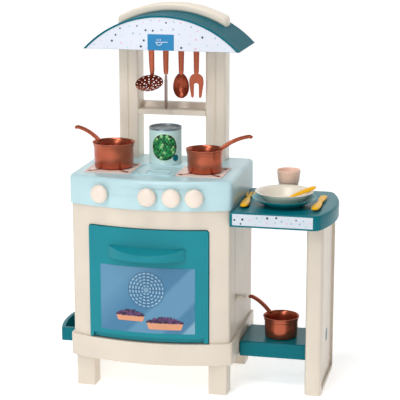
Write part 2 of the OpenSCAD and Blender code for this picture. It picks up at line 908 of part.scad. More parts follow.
module can_lid() {
    color("silver") translate([can_at[0], can_at[1], top_z + can_h - 1.8]) rotate_extrude() polygon([
        [0, -3], [can_r - 4, -3], [can_r - 2.5, 0], [can_r - 1, 1.8], [can_r, 1.4], [can_r, 0],
        [can_r - 1.6, 0], [can_r - 1.6, -4.5], [0, -4.5]
    ]);
}

// Low bowl: foot radius, rim radius, height and lip
module bowl_shape(foot, rim, h, t = 2) {
    rotate_extrude($fn = 96) polygon([
        [0, 1], [foot - 3, 1], [foot - 2, 0], [foot, 0], [foot + 1.5, 1.5],
        [rim - 5, h - 2.6], [rim, h - 1.2], [rim, h], [rim - 5, h - 0.8], [foot, 1 + t], [0, 1 + t]
    ]);
}

module on_table(at, z = 0.2) {
    translate([at[0], at[1], table_top + z]) children();
}

module dinner_plate() {
    color(teal) on_table(plate_at) bowl_shape(44, 74, 18);
}

module bowl() {
    color(cream) on_table(plate_at, bowl_lift) bowl_shape(38, 67, 29);
}

module cup() {
    color("rosybrown") on_table(cup_at) rotate_extrude() polygon([
        [0, 2], [17, 2], [17.5, 0], [20, 0], [28, 59], [28, 60], [26, 60], [18, 4], [0, 4]
    ]);
}

// Rounded cutlery handle lying along +Y from the origin
module cutlery_handle(l = 92) {
    hull() for (p = [[8.5, 8.5], [0.43 * l, 10], [l, 3.5]]) translate([0, p[0], 5])
        scale([1, 1, 0.5]) sphere(p[1], $fn = 24);
}

module fork() {
    color(yellow) on_table(fork_at, 0.6) rotate([0, 0, 3.5]) {
        cutlery_handle();
        translate([0, 0, 2]) linear_extrude(3) difference() {
            union() {
                translate([-3, 88]) square([6, 26]);
                translate([0, 120]) circle(10);
                translate([-10, 120]) square([20, 36]);
            }
            for (x = [-4.6, 4.6]) translate([x, 124]) {
                circle(1.8);
                translate([-1.8, 0]) square([3.6, 40]);
            }
        }
    }
}

module knife() {
    color(yellow) on_table(knife_at, 0.6) rotate([0, 0, -1]) {
        cutlery_handle();
        translate([0, 0, 2.5]) linear_extrude(3.4) {
            translate([-5, 84]) square([10, 10]);
            translate([-8, 92]) square([16, 48]);
            translate([0, 140]) circle(8);
        }
    }
}

module spoon() {
    color(yellow) on_table(spoon_at, spoon_lift) rotate([0, 0, spoon_turn]) rotate([-spoon_tilt, 0, 0]) {
        cutlery_handle(spoon_head - 14);
        translate([-2.5, spoon_head - 22, 3.1]) cube([5, 13, 2.6]);
        translate([0, spoon_head, 3.6]) rotate_extrude($fn = 48) polygon([
            [0, -3], [9, -2], [14, 1.6], [14, 2.4], [12.6, 2], [8, -0.6], [0, -1.4]
        ]);
    }
}

// ---- nodes ----

place() plinth();
place() leg(leg_centres_x[0], leg_centres_y[0]);  // leg_front_left
place() leg(leg_centres_x[1], leg_centres_y[0]);  // leg_front_right
place() leg(leg_centres_x[0], leg_centres_y[1]);  // leg_rear_left
place() leg(leg_centres_x[1], leg_centres_y[1]);  // leg_rear_right
place() front_panel();
place() side_panel(-1);  // side_panel_left
place() side_panel(1);  // side_panel_right
place() back_panel();
place() panel_screws();
place() oven_door();
place() door_pull();
place() door_window_sticker();
place() hinge_pin(-1);  // hinge_pin_left
place() hinge_pin(1);  // hinge_pin_right
place() worktop();
place() hob_plate(hob_at[0]);  // hob_plate_left
place() hob_plate(hob_at[1]);  // hob_plate_right
place() knob(knob_x[0]);  // knob_1
place() knob(knob_x[1]);  // knob_2
place() knob(knob_x[2]);  // knob_3
place() knob(knob_x[3]);  // knob_4
place() knob_clip(knob_x[0]);  // knob_clip_1
place() knob_clip(knob_x[1]);  // knob_clip_2
place() knob_clip(knob_x[2]);  // knob_clip_3
place() knob_clip(knob_x[3]);  // knob_clip_4
place() post(-1);  // post_left
place() post(1);  // post_right
place() crossbar();
place() crossbar_screws();
place() top_arch();
place() hood();
place() hood_sticker();
place() utensil_rail();
place() table_top();
place() table_sticker();
place() table_leg_panel();
place() lower_shelf();
place() side_caddy();
place() skimmer();
place() palette_knife();
place() serving_spoon();
place() carving_fork();
place() translate([pan_at[0][0], pan_at[0][1], pan_z]) rotate([0, 0, pan_turn[0]]) saucepan(large_pan);  // saucepan_left
place() translate([pan_at[1][0], pan_at[1][1], pan_z]) rotate([0, 0, pan_turn[1]]) saucepan(middle_pan);  // saucepan_right
place() translate([small_pan_at[0], small_pan_at[1], shelf_top + 0.2])  // saucepan_small
        rotate([0, 0, small_pan_turn]) saucepan(small_pan);
place() can_body();
place() can_lid();
place() dinner_plate();
place() bowl();
place() cup();
place() fork();
place() knife();
place() spoon();
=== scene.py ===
import json
from math import atan2, cos, pi, radians, sin, sqrt
from random import Random

import bmesh
import bpy
from mathutils import Matrix, Vector


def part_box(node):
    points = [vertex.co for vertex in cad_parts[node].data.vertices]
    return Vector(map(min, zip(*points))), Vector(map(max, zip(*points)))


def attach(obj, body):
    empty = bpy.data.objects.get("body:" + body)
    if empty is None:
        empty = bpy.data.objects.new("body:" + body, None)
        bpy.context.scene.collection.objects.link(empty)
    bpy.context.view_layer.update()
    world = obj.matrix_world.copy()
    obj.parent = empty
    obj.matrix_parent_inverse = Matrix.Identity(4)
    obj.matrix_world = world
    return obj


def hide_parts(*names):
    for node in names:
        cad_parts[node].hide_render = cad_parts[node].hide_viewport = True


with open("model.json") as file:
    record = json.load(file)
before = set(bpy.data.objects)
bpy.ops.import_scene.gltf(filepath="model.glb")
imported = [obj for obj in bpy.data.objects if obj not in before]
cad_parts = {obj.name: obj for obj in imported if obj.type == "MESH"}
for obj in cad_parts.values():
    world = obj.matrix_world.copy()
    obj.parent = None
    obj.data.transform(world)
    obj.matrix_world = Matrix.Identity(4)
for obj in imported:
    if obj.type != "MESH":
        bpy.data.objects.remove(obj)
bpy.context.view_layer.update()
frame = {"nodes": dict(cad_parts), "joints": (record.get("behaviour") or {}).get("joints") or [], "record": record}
NODES = frame["nodes"]
JOINTS = {j["name"]: j for j in frame["joints"]}

# -------- view

CAMERA_TARGET = Vector((0.012, 0.0035, 0.433))
CAMERA_DISTANCE = 3.423
CAMERA_AZIMUTH = radians(12.66)
CAMERA_ELEVATION = radians(13.12)
CAMERA_LENS = 131.9

# -------- places taken from the frame

CABINET_X = sum(p.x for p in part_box("worktop")) / 2
FRONT_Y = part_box("front_panel")[0].y + 0.033
BOW_RADIUS = 0.486
BOW_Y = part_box("front_panel")[0].y + BOW_RADIUS
APRON_RADIUS = BOW_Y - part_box("worktop")[0].y
FILM_RADIUS = BOW_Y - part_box("door_window_sticker")[0].y
TOP_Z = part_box("worktop")[1].z
WARE_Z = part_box("table_top")[1].z
SHELF_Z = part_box("lower_shelf")[1].z


def spot(x, y, z=0.0):
    """A point measured from the middle of the cabinet's front corners."""
    return Vector((CABINET_X + x, FRONT_Y + y, z))


def middle(node):
    """The middle of a node's box, at the height of its lowest point."""
    low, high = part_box(node)
    return Vector(((low.x + high.x) / 2, (low.y + high.y) / 2, low.z))


# -------- shapes

def arc(cx, cy, r, start, end, steps):
    """Points along an arc, both ends included. Angles in radians."""
    turn = [start + (end - start) * i / steps for i in range(steps + 1)]
    return [(cx + r * cos(a), cy + r * sin(a)) for a in turn]


def rounded_rect(w, d, r, steps=6, cx=0.0, cy=0.0):
    """A rectangle with rounded corners, counter-clockwise."""
    x, y = w / 2 - r, d / 2 - r
    corners = [(x, -y, -pi / 2), (x, y, 0), (-x, y, pi / 2), (-x, -y, pi)]
    return [p for px, py, a in corners for p in arc(cx + px, cy + py, r, a, a + pi / 2, steps)]


def bowed_plan(radius, half, back, corner, back_corner, inset=0.0):
    """A plan whose front is an arc about the origin, bulging towards -Y, between rounded corners."""
    r, c = radius - inset, corner - inset
    side, rear = half - inset, back - inset
    rc = max(back_corner - inset, 0.0004)
    cx = side - c
    cy = -sqrt((r - c) ** 2 - cx ** 2)
    left = atan2(cy, -cx) + 2 * pi
    right = 3 * pi - left
    points = arc(-cx, cy, c, pi, left, 8)
    points += arc(0, 0, r, left, right, 40)[1:-1]
    points += arc(cx, cy, c, right, 2 * pi, 8)
    points += arc(side - rc, rear - rc, rc, 0, pi / 2, 6)
    return points + arc(-side + rc, rear - rc, rc, pi / 2, pi, 6)


def placed(points, cx, cy, angle=0.0):
    """Plan points turned about the origin and moved."""
    c, s = cos(angle), sin(angle)
    return [(cx + x * c - y * s, cy + x * s + y * c) for x, y in points]


def loft(rings, close_start=True, close_end=True):
    """A skin over rings of points, each ring closed on itself."""
    bm = bmesh.new()
    rows = [[bm.verts.new(p) for p in ring] for ring in rings]
    count = len(rows[0])
    for low, high in zip(rows, rows[1:]):
        for i in range(count):
            j = (i + 1) % count
            bm.faces.new((low[i], low[j], high[j], high[i]))
    if close_start:
        bm.faces.new(list(reversed(rows[0])))
    if close_end:
        bm.faces.new(rows[-1])
    return bm


def lathe(profile, segments=72):
    """A profile of (radius, height) turned about Z; a radius of 0 closes to a point."""
    bm = bmesh.new()
    turn = [2 * pi * i / segments for i in range(segments)]
    rows = [[bm.verts.new((r * cos(a), r * sin(a), z)) for a in (turn if r else turn[:1])]
            for r, z in profile]
    for a, b in zip(rows, rows[1:]):
        for i in range(segments):
            j = (i + 1) % segments
            quad = [a[i % len(a)], a[j % len(a)], b[j % len(b)], b[i % len(b)]]
            corners = list(dict.fromkeys(quad))
            if len(corners) > 2:
                bm.faces.new(corners)
    return bm


def prism(outline, low, high):
    """An outline of (x, y) points, counter-clockwise, extruded from low to high along Z."""
    return loft([[(x, y, low) for x, y in outline], [(x, y, high) for x, y in outline]])


def plaque(outline, depth):
    """An outline of (x, z) points standing upright, its back at y = 0 and its face at -depth."""
    return loft([[(x, 0, z) for x, z in outline], [(x, -depth, z) for x, z in outline]])


def slab(outline, low, high, rounding, steps=6):
    """An upright slab open below, its top edge rounded; outline(inset) gives its plan."""
    rings = [(0.0, low)]
    for i in range(steps + 1):
        a = i * pi / 2 / steps
        rings.append((rounding * (1 - cos(a)), high - rounding * (1 - sin(a))))
    rings.append((rounding + 0.001, high))
    return loft([[(x, y, z) for x, y in outline(inset)] for inset, z in rings], close_start=False)


def sweep(points, section, up=Vector((0, 1, 0))):
    """A section of (across, outward) points carried along a path; across stays along up."""
    rings = []
    for i, p in enumerate(points):
        ahead = Vector(points[min(i + 1, len(points) - 1)])
        behind = Vector(points[max(i - 1, 0)])
        outward = up.cross((ahead - behind).normalized()).normalized()
        rings.append([Vector(p) + up * a + outward * b for a, b in section(i / (len(points) - 1))])
    return loft(rings)


def ellipse(a, b, sides=16):
    return [(a * cos(2 * pi * i / sides), b * sin(2 * pi * i / sides)) for i in range(sides)]


def dome(x, z, r, height, sides=14):
    """A low dome on an upright face at (x, z), standing out towards -Y."""
    rings = []
    for t in (0, pi / 6, pi / 3, pi * 0.46):
        rings.append([(x + r * cos(t) * cos(a), -height * sin(t), z + r * cos(t) * sin(a))
                      for a in [2 * pi * i / sides for i in range(sides)]])
    return loft(rings)


def ring_sector(r_in, r_out, start, end, steps, x=0.0, z=0.0):
    """Outline of a piece of a ring, counter-clockwise."""
    return arc(x, z, r_out, start, end, steps) + arc(x, z, r_in, end, start, steps)


def wrap(bm, cx, cy, radius, facing=0.0):
    """Bends an upright flat shape round a cylinder about (cx, cy), its face outwards."""
    for v in bm.verts:
        a = facing + v.co.x / radius
        r = radius - v.co.y
        v.co = (cx + r * sin(a), cy - r * cos(a), v.co.z)
    return bm


def moved(bm, matrix):
    bmesh.ops.transform(bm, matrix=matrix, verts=bm.verts)
    return bm


def joined(parts):
    """Several bmeshes as one."""
    whole = bmesh.new()
    for bm in parts:
        mesh = bpy.data.meshes.new("part")
        bm.to_mesh(mesh)
        bm.free()
        whole.from_mesh(mesh)
        bpy.data.meshes.remove(mesh)
    return whole


def shift(x, y, z):
    return Matrix.Translation((x, y, z))


def turned(degrees, axis):
    return Matrix.Rotation(radians(degrees), 4, axis)


def sideways(x, y, z):
    """Stands a prism's outline in the y-z plane at a point, its length along +X."""
    return Matrix(((0, 0, 1, x), (1, 0, 0, y), (0, 1, 0, z), (0, 0, 0, 1)))


# -------- pieces

WALL = 0.003
INK_DEPTH = 0.0002

def linked(name, data):
    obj = bpy.data.objects.new(name, data)
    bpy.context.scene.collection.objects.link(obj)
    return obj


def mesh_object(name, bm):
    mesh = bpy.data.meshes.new(name)
    bm.to_mesh(mesh)
    bm.free()
    return linked(name, mesh)


def add_piece(name, bm, body, material, stands_for=(), sharp=38.0):
    """A visible piece on a body; edges folded by more than sharp degrees stay crisp."""
    bmesh.ops.recalc_face_normals(bm, faces=bm.faces)
    for face in bm.faces:
        face.smooth = True
    for edge in bm.edges:
        folded = len(edge.link_faces) == 2 and edge.calc_face_angle(0) > radians(sharp)
        edge.smooth = not folded
    obj = mesh_object(name, bm)
    obj.data.materials.append(material)
    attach(obj, body)
    if stands_for:
        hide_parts(*stands_for)
    return obj


def bevel(obj, width, segments=3, angle=32.0):
    mod = obj.modifiers.new("Bevel", "BEVEL")
    mod.width = width
    mod.segments = segments
    mod.limit_method = "ANGLE"
    mod.angle_limit = radians(angle)
    mod.harden_normals = True
    mod.miter_outer = "MITER_ARC"


def hollow_slab(name, node, plan, rounding, material):
    """A slab as tall as its CAD node, open below; its large faces stay flat in the light."""
    low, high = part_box(node)
    obj = add_piece(name, slab(plan, low.z, high.z, rounding), "kitchen", material, (node,))
    walls = obj.modifiers.new("Thickness", "SOLIDIFY")
    walls.thickness = WALL
    walls.offset = -1
    walls.use_even_offset = True
    normals = obj.modifiers.new("Normals", "WEIGHTED_NORMAL")
    normals.weight = 100
    normals.keep_sharp = True


def eased(node, body, material, width):
    """A copy of a CAD node with its flat faces made whole and its edges rounded over."""
    bm = bmesh.new()
    bm.from_mesh(NODES[node].data)
    bmesh.ops.remove_doubles(bm, verts=bm.verts, dist=2e-6)
    bmesh.ops.dissolve_limit(bm, angle_limit=radians(0.4), verts=bm.verts, edges=bm.edges)
    if node in POCKETED:
        # Triangles keep the shading true round the deep pocket.
        bmesh.ops.triangulate(bm, faces=[f for f in bm.faces if len(f.verts) > 4])
    bevel(add_piece(node + "_moulding", bm, body, material, (node,)), width)


# -------- materials

def srgb(r, g, b):
    """An 0-255 screen colour as Blender's linear colour."""
    def linear(c):
        c = c / 255
        return c / 12.92 if c <= 0.04045 else ((c + 0.055) / 1.055) ** 2.4
    return (linear(r), linear(g), linear(b), 1.0)


def node_material(name):
    mat = bpy.data.materials.new(name)
    mat.use_nodes = True
    tree = mat.node_tree
    return mat, tree, tree.nodes["Principled BSDF"]


def noise(tree, scale, detail=2.0):
    coords = tree.nodes.new("ShaderNodeTexCoord")
    tex = tree.nodes.new("ShaderNodeTexNoise")
    tex.inputs["Scale"].default_value = scale
    tex.inputs["Detail"].default_value = detail
    tree.links.new(coords.outputs["Object"], tex.inputs["Vector"])
    return tex.outputs["Fac"]


def mapped(tree, value, low, high, start=0.3, end=0.7):
    node = tree.nodes.new("ShaderNodeMapRange")
    node.inputs["From Min"].default_value = start
    node.inputs["From Max"].default_value = end
    node.inputs["To Min"].default_value = low
    node.inputs["To Max"].default_value = high
    tree.links.new(value, node.inputs["Value"])
    return node.outputs["Result"]


def mixed(tree, factor, first, second):
    node = tree.nodes.new("ShaderNodeMix")
    node.data_type = "RGBA"
    for socket, value in (("Factor", factor), ("A", first), ("B", second)):
        target = next(i for i in node.inputs if i.name == socket and i.enabled)
        if isinstance(value, bpy.types.NodeSocket):
            tree.links.new(value, target)
        else:
            target.default_value = value
    return next(o for o in node.outputs if o.enabled)


def plastic(name, colour, rough, coat=0.0, metal=0.0, grain=0.02, drift=0.04, shine=0.5):
    """Moulded plastic of a screen colour: slow drift of tone, uneven gloss, fine mould texture."""
    mat, tree, shader = node_material(name)
    colour = srgb(*colour)
    dark = tuple(c * (1 - drift) for c in colour[:3]) + (1,)
    pale = tuple(min(c * (1 + drift), 1) for c in colour[:3]) + (1,)
    tone = mapped(tree, noise(tree, 9, 3), 0, 1)
    tree.links.new(mixed(tree, tone, dark, pale), shader.inputs["Base Color"])
    gloss = mapped(tree, noise(tree, 22, 2), rough - 0.015, rough + 0.02)
    tree.links.new(gloss, shader.inputs["Roughness"])
    bump = tree.nodes.new("ShaderNodeBump")
    bump.inputs["Strength"].default_value = grain
    bump.inputs["Distance"].default_value = 0.0004
    tree.links.new(noise(tree, 420, 1), bump.inputs["Height"])
    tree.links.new(bump.outputs["Normal"], shader.inputs["Normal"])
    shader.inputs["Metallic"].default_value = metal
    shader.inputs["Coat Weight"].default_value = coat
    shader.inputs["Specular IOR Level"].default_value = shine
    shader.inputs["Coat Roughness"].default_value = 0.08
    return mat


def steel(name):
    """Zinc-plated steel with a fine brushed grain."""
    mat, tree, shader = node_material(name)
    shader.inputs["Metallic"].default_value = 1.0
    tone = mapped(tree, noise(tree, 900, 2), 0, 1)
    colour = mixed(tree, tone, (0.45, 0.45, 0.47, 1), (0.68, 0.68, 0.70, 1))
    tree.links.new(colour, shader.inputs["Base Color"])
    tree.links.new(mapped(tree, noise(tree, 400, 2), 0.25, 0.45), shader.inputs["Roughness"])
    return mat


def printed_window(name):
    """Blue glossy film with soft paler streaks across it, as on glass."""
    mat, tree, shader = node_material(name)
    coords = tree.nodes.new("ShaderNodeTexCoord")
    split = tree.nodes.new("ShaderNodeSeparateXYZ")
    tree.links.new(coords.outputs["Object"], split.inputs["Vector"])
    slant = tree.nodes.new("ShaderNodeMath")
    slant.operation = "MULTIPLY_ADD"
    tree.links.new(split.outputs["X"], slant.inputs[0])
    slant.inputs[1].default_value = 1.05
    negative = tree.nodes.new("ShaderNodeMath")
    negative.operation = "MULTIPLY"
    negative.inputs[1].default_value = -1.0
    tree.links.new(split.outputs["Z"], negative.inputs[0])
    tree.links.new(negative.outputs[0], slant.inputs[2])
    ramp = tree.nodes.new("ShaderNodeValToRGB")
    tree.links.new(mapped(tree, slant.outputs[0], 0, 1, -0.42, 0.02), ramp.inputs["Fac"])
    deep, soft, bright = srgb(58, 120, 158), srgb(88, 142, 176), srgb(124, 170, 192)
    stops = [(0.0, soft), (0.18, deep), (0.30, deep), (0.33, soft), (0.50, soft), (0.53, deep),
             (0.61, deep), (0.63, bright), (0.79, bright), (0.82, soft), (0.92, deep), (1.0, deep)]
    while len(ramp.color_ramp.elements) < len(stops):
        ramp.color_ramp.elements.new(0.5)
    for element, (place, colour) in zip(ramp.color_ramp.elements, stops):
        element.position = place
        element.color = colour
    tree.links.new(ramp.outputs["Color"], shader.inputs["Base Color"])
    tree.links.new(mapped(tree, noise(tree, 120, 2), 0.16, 0.26), shader.inputs["Roughness"])
    return mat


CREAM = plastic("cream", (225, 213, 197), 0.36)
# Cream painted lighter than CREAM, as painted light: the posts and crossbar stand in the hood's shade, and the
# arch band takes it too.
LIT_CREAM = plastic("lit_cream", (241, 228, 211), 0.36)
PALE_BLUE = plastic("pale_blue", (188, 220, 226), 0.3)
TEAL = plastic("teal", (22, 136, 148), 0.32, shine=0.2)
# The teal painted darker for the hood: painted shade on its top and sides.
SHADED_HOOD_TEAL = plastic("shaded_hood_teal", (4, 104, 118), 0.5, shine=0.06)
DEEP_TEAL = plastic("deep_teal", (4, 112, 124), 0.3, shine=0.12)
PLATE_TEAL = plastic("plate_teal", (18, 150, 160), 0.3, shine=0.3)
COPPER = plastic("copper", (178, 92, 66), 0.25, metal=0.78, grain=0.002)
KNOB_CREAM = plastic("knob_cream", (240, 226, 212), 0.34)
CLIP_WHITE = plastic("clip_white", (225, 224, 220), 0.5)
HOB_PALE = plastic("hob_pale", (240, 214, 202), 0.4)
HOB_COPPER = plastic("hob_copper", (176, 110, 92), 0.42, metal=0.3)
FILM_WHITE = plastic("film_white", (216, 221, 232), 0.4, grain=0.01, drift=0.02)
# The white film painted darker for the table's band: painted shade.
SHADED_TABLE_FILM = plastic("shaded_table_film", (206, 215, 224), 0.4, grain=0.01, drift=0.02)
WINDOW_FILM = printed_window("window_film")
FAN_WHITE = plastic("fan_white", (150, 188, 210), 0.3, grain=0.01)
CRUST = plastic("crust", (222, 154, 116), 0.4, drift=0.12)
BERRY = plastic("berry", (98, 52, 104), 0.28, drift=0.25)
BERRY_DARK = plastic("berry_dark", (52, 26, 62), 0.26, drift=0.25)
EMBLEM_BLUE = plastic("emblem_blue", (4, 124, 178), 0.3)
SCREW_STEEL = steel("screw_steel")
LABEL_BLUE = plastic("label_blue", (198, 230, 228), 0.34)
TIN_GREY = plastic("tin_grey", (138, 150, 158), 0.34, metal=0.45, grain=0.0)
PEACH = plastic("peach", (255, 218, 198), 0.34)
YELLOW = plastic("yellow", (250, 188, 8), 0.36, shine=0.25)
DARK_COPPER = plastic("dark_copper", (96, 60, 52), 0.4, metal=0.3)
BLADE = plastic("blade", (142, 112, 100), 0.36, metal=0.35)
BOWL_CREAM = plastic("bowl_cream", (238, 230, 214), 0.3, coat=0.1)
INK_NAVY = plastic("ink_navy", (44, 62, 92), 0.4)
INK_SLATE = plastic("ink_slate", (150, 178, 196), 0.4)
INK_PINK = plastic("ink_pink", (226, 176, 204), 0.4)
INK_MINT = plastic("ink_mint", (166, 208, 212), 0.4)
FAN_DARK = plastic("fan_dark", (52, 96, 134), 0.3, grain=0.01)
HALO = plastic("halo", (214, 244, 224), 0.3)
PEA_DARK = plastic("pea_dark", (4, 40, 26), 0.3, drift=0.2)
PEA_DEEP = plastic("pea_deep", (14, 108, 54), 0.16, drift=0.2)
PEA_GREEN = plastic("pea_green", (32, 146, 76), 0.14, drift=0.2)
PEA_PALE = plastic("pea_pale", (150, 212, 140), 0.14, drift=0.15)

# -------- CAD nodes that keep their shape

LEGS = ("leg_front_left", "leg_front_right", "leg_rear_left", "leg_rear_right")
SIDES_AND_BACK = ("side_panel_left", "side_panel_right", "back_panel")
POCKETED = ("post_left", "post_right")
# Nodes, slot, look, and how far their edges are rounded over.
EASED = (
    (("plinth",), "cream_plastic", CREAM, 0.0018),
    (("front_panel",), "cream_plastic", CREAM, 0.0009),
    (SIDES_AND_BACK, "cream_plastic", CREAM, 0.0008),
    (LEGS, "cream_plastic", CREAM, 0.0015),
    # The posts and crossbar take cream painted lighter: painted light against the hood's shade.
    (POCKETED + ("crossbar",), "cream_plastic", LIT_CREAM, 0.0012),
    (("utensil_rail",), "cream_plastic", CREAM, 0.0006),
    # The hood takes teal painted darker: painted shade.
    (("hood",), "teal_plastic", SHADED_HOOD_TEAL, 0.001),
    (("hood_sticker",), "dotted_print", FILM_WHITE, 0.0001),
    # The table's band takes the film painted darker: painted shade.
    (("table_sticker",), "dotted_print", SHADED_TABLE_FILM, 0.0001),
    (("oven_door",), "teal_plastic", TEAL, 0.0016),
    (("door_pull",), "teal_plastic", TEAL, 0.0022),
    (("door_window_sticker",), "window_print", WINDOW_FILM, 0.0001),
    (("side_caddy",), "dark_teal_plastic", DEEP_TEAL, 0.0016),
)
BODY_OF = {n: b for b, members in frame["record"]["behaviour"]["bodies"].items() for n in members}
for group, slot_name, material, width in EASED:
    for node in group:
        eased(node, BODY_OF[node], material, width)

# These keep the CAD mesh as it is.
STEEL_NODES = ("panel_screws", "crossbar_screws", "hinge_pin_left", "hinge_pin_right")
CLIP_NODES = tuple("knob_clip_%d" % n for n in range(1, 5))
for node in STEEL_NODES + CLIP_NODES:
    mesh = NODES[node].data
    mesh.materials.clear()
    mesh.materials.append(SCREW_STEEL if node in STEEL_NODES else CLIP_WHITE)

# -------- worktop and knobs

def worktop():
    def plan(inset):
        return placed(bowed_plan(APRON_RADIUS, 0.190, -0.183, 0.014, 0.016, inset), CABINET_X, BOW_Y)

    hollow_slab("worktop_moulding", "worktop", plan, 0.009, PALE_BLUE)


def worktop_relief():
    """Raised lines on the apron, and the pad, lines and studs between the hobs."""
    lines = []
    for x0, x1, z, tall in ((-0.083, -0.020, 0.471, 0.0022), (-0.056, 0.134, 0.491, 0.0016)):
        steps = 24
        line = [(x0 + (x1 - x0) * i / steps, z - tall / 2) for i in range(steps + 1)]
        line += [(x, z + tall / 2) for x, _ in reversed(line)]
        lines.append(wrap(plaque(line, 0.0008), CABINET_X, BOW_Y, APRON_RADIUS - 0.0001))
    obj = add_piece("apron_lines", joined(lines), "kitchen", PALE_BLUE)
    bevel(obj, 0.0004, 2)

    def pad_plan(inset):
        return rounded_rect(0.085 - 2 * inset, 0.078 - 2 * inset, 0.014 - inset, 8,
                            *spot(0.0095, 0.060)[:2])

    pad = slab(pad_plan, TOP_Z - 0.0005, TOP_Z + 0.0026, 0.0020)
    add_piece("counter_pad", pad, "kitchen", PALE_BLUE)
    edge = spot(0.001, 0.074)[:2]
    outer = rounded_rect(0.103, 0.118, 0.012, 8, *edge)
    inner = rounded_rect(0.097, 0.112, 0.009, 8, *edge)
    groove = rounded_rect(0.060, 0.030, 0.012, 8, *spot(0.0095, 0.046)[:2])
    island = rounded_rect(0.055, 0.025, 0.0095, 8, *spot(0.0095, 0.046)[:2])
    rims = [rim(outer, inner, TOP_Z - 0.0005, TOP_Z + 0.0024),
            rim(groove, island, TOP_Z + 0.002, TOP_Z + 0.0046)]
    obj = add_piece("counter_lines", joined(rims), "kitchen", PALE_BLUE)
    bevel(obj, 0.0005, 2)
    studs = [(-0.041, 0.054), (-0.043, 0.120), (0.034, 0.034), (0.044, 0.112), (-0.021, 0.034)]
    parts = [moved(lathe([(0.0024, 0), (0.0024, 0.0008), (0.0016, 0.0016), (0, 0.0018)], 16),
                   shift(*spot(x, y, TOP_Z + 0.0006))) for x, y in studs]
    add_piece("counter_studs", joined(parts), "kitchen", PALE_BLUE)


def rim(outer, inner, low, high):
    """A raised line between two outlines of the same point count."""
    rings = [[(x, y, z) for x, y in line] for line, z in
             ((outer, low), (outer, high), (inner, high), (inner, low))]
    return loft(rings, close_start=False, close_end=False)


def hob_plate(node):
    """A printed plate with a pan support: a ring, four bars to the corners and a stud in each."""
    low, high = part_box(node)
    cx, cy = (low.x + high.x) / 2, (low.y + high.y) / 2
    w, d = high.x - low.x, high.y - low.y
    plate = prism(rounded_rect(w, d, 0.004, 5, cx, cy), low.z, high.z - 0.0008)
    inside = rounded_rect(w - 0.007, d - 0.007, 0.003, 5, cx, cy)
    edge = rim(rounded_rect(w, d, 0.004, 5, cx, cy), inside, high.z - 0.001, high.z)
    side = node.split("_")[-1]
    obj = add_piece("hob_base_" + side, joined([plate, edge]), "kitchen", HOB_PALE,
                    (node,))
    bevel(obj, 0.0004, 2)
    ring_r, bar_w = 0.030, 0.0075
    parts = [moved(lathe([(ring_r - 0.004, 0), (ring_r - 0.004, 0.0007), (ring_r + 0.002, 0.0007),
                          (ring_r + 0.002, 0)], 64), shift(cx, cy, high.z - 0.0008))]
    for sx in (-1, 1):
        for sy in (-1, 1):
            angle = atan2(sy * d, sx * w)
            bar = rounded_rect(0.040, bar_w, bar_w * 0.3, 4, ring_r + 0.018)
            parts.append(prism(placed(bar, cx, cy, angle), high.z - 0.0009, high.z - 0.0002))
    obj = add_piece("hob_grate_" + side, joined(parts), "kitchen", HOB_COPPER)
    bevel(obj, 0.0003, 2)
    studs = [moved(lathe([(0.0042, 0), (0.0042, 0.0006), (0.0028, 0.0012), (0, 0.0013)], 20),
                   shift(cx + sx * (w / 2 - 0.011), cy + sy * (d / 2 - 0.015), high.z - 0.0008))
             for sx in (-1, 1) for sy in (-1, 1)]
    add_piece("hob_studs_" + side, joined(studs), "kitchen", DARK_COPPER)


def knob(number):
    """A full domed knob that stands off the apron on a short neck."""
    joint = JOINTS["knob_%d_turn" % number]
    outline = [(0.0125, 0.0), (0.0125, 0.0016), (0.0178, 0.0022)]
    radius, middle_h, dome_h, lowest = 0.0213, 0.0100, 0.0109, -0.52
    steps = 12
    for i in range(steps + 1):
        t = lowest + (pi / 2 - lowest) * i / steps
        outline.append((radius * cos(t) ** 0.82 if i < steps else 0, middle_h + dome_h * sin(t)))
    aim = Vector(joint["axis"]).to_track_quat("Z", "Y").to_matrix().to_4x4()
    body = moved(lathe(outline, 64), shift(*joint["pos_m"]) @ aim)
    name = "knob_%d" % number
    add_piece(name + "_cap", body, name, KNOB_CREAM, (name,))


# -------- hood, arch and prints

# Each ink of the printed dots, with its smallest and largest radius.
INKS = (("navy", INK_NAVY, 0.0019, 0.0030), ("slate", INK_SLATE, 0.0015, 0.0025),
        ("pink", INK_PINK, 0.0014, 0.0024), ("mint", INK_MINT, 0.0013, 0.0021))

def top_arch():
    """A puffed band over the hood, its ends rounded off."""
    low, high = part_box("top_arch")
    half, front, back = (high.x - low.x) / 2, low.y, high.y
    hood_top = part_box("hood")[1].z
    under_r, rise = 0.2516, 0.033
    over_r = (half ** 2 + rise ** 2) / (2 * rise)
    round_end = 0.005
    rings = []
    steps = 60
    for i in range(steps + 1):
        x = half * sin((i / steps - 0.5) * pi)
        end = half - abs(x)
        pull = round_end - sqrt(max(round_end ** 2 - max(round_end - end, 0) ** 2, 0))
        top = high.z - over_r + sqrt(over_r ** 2 - x ** 2) - pull
        base = hood_top - under_r + sqrt(under_r ** 2 - x ** 2) - 0.0005
        base = min(base + pull * 0.25, top - 0.002)
        depth = back - front - pull
        tall = top - base
        r = min(0.006, tall * 0.45)
        section = rounded_rect(depth, tall, r, 6, (front + back) / 2, (top + base) / 2)
        rings.append([(CABINET_X + x, y, z) for y, z in section])
    # The band takes cream painted lighter than CREAM: painted light.
    add_piece("arch_band", loft(rings), "kitchen", LIT_CREAM, ("top_arch",), 50)


def scatter(count, inside, spacing, seed):
    """Points that keep their distance, drawn from a fixed seed; inside() says where they may be."""
    rng = Random(seed)
    found = []
    for _ in range(6000):
        if len(found) == count:
            break
        p = (rng.uniform(-0.185, 0.185), rng.uniform(0.0, 0.08))
        apart = all((p[0] - q[0]) ** 2 + (p[1] - q[1]) ** 2 > spacing ** 2 for q in found)
        if apart and inside(*p):
            found.append(p)
    return found


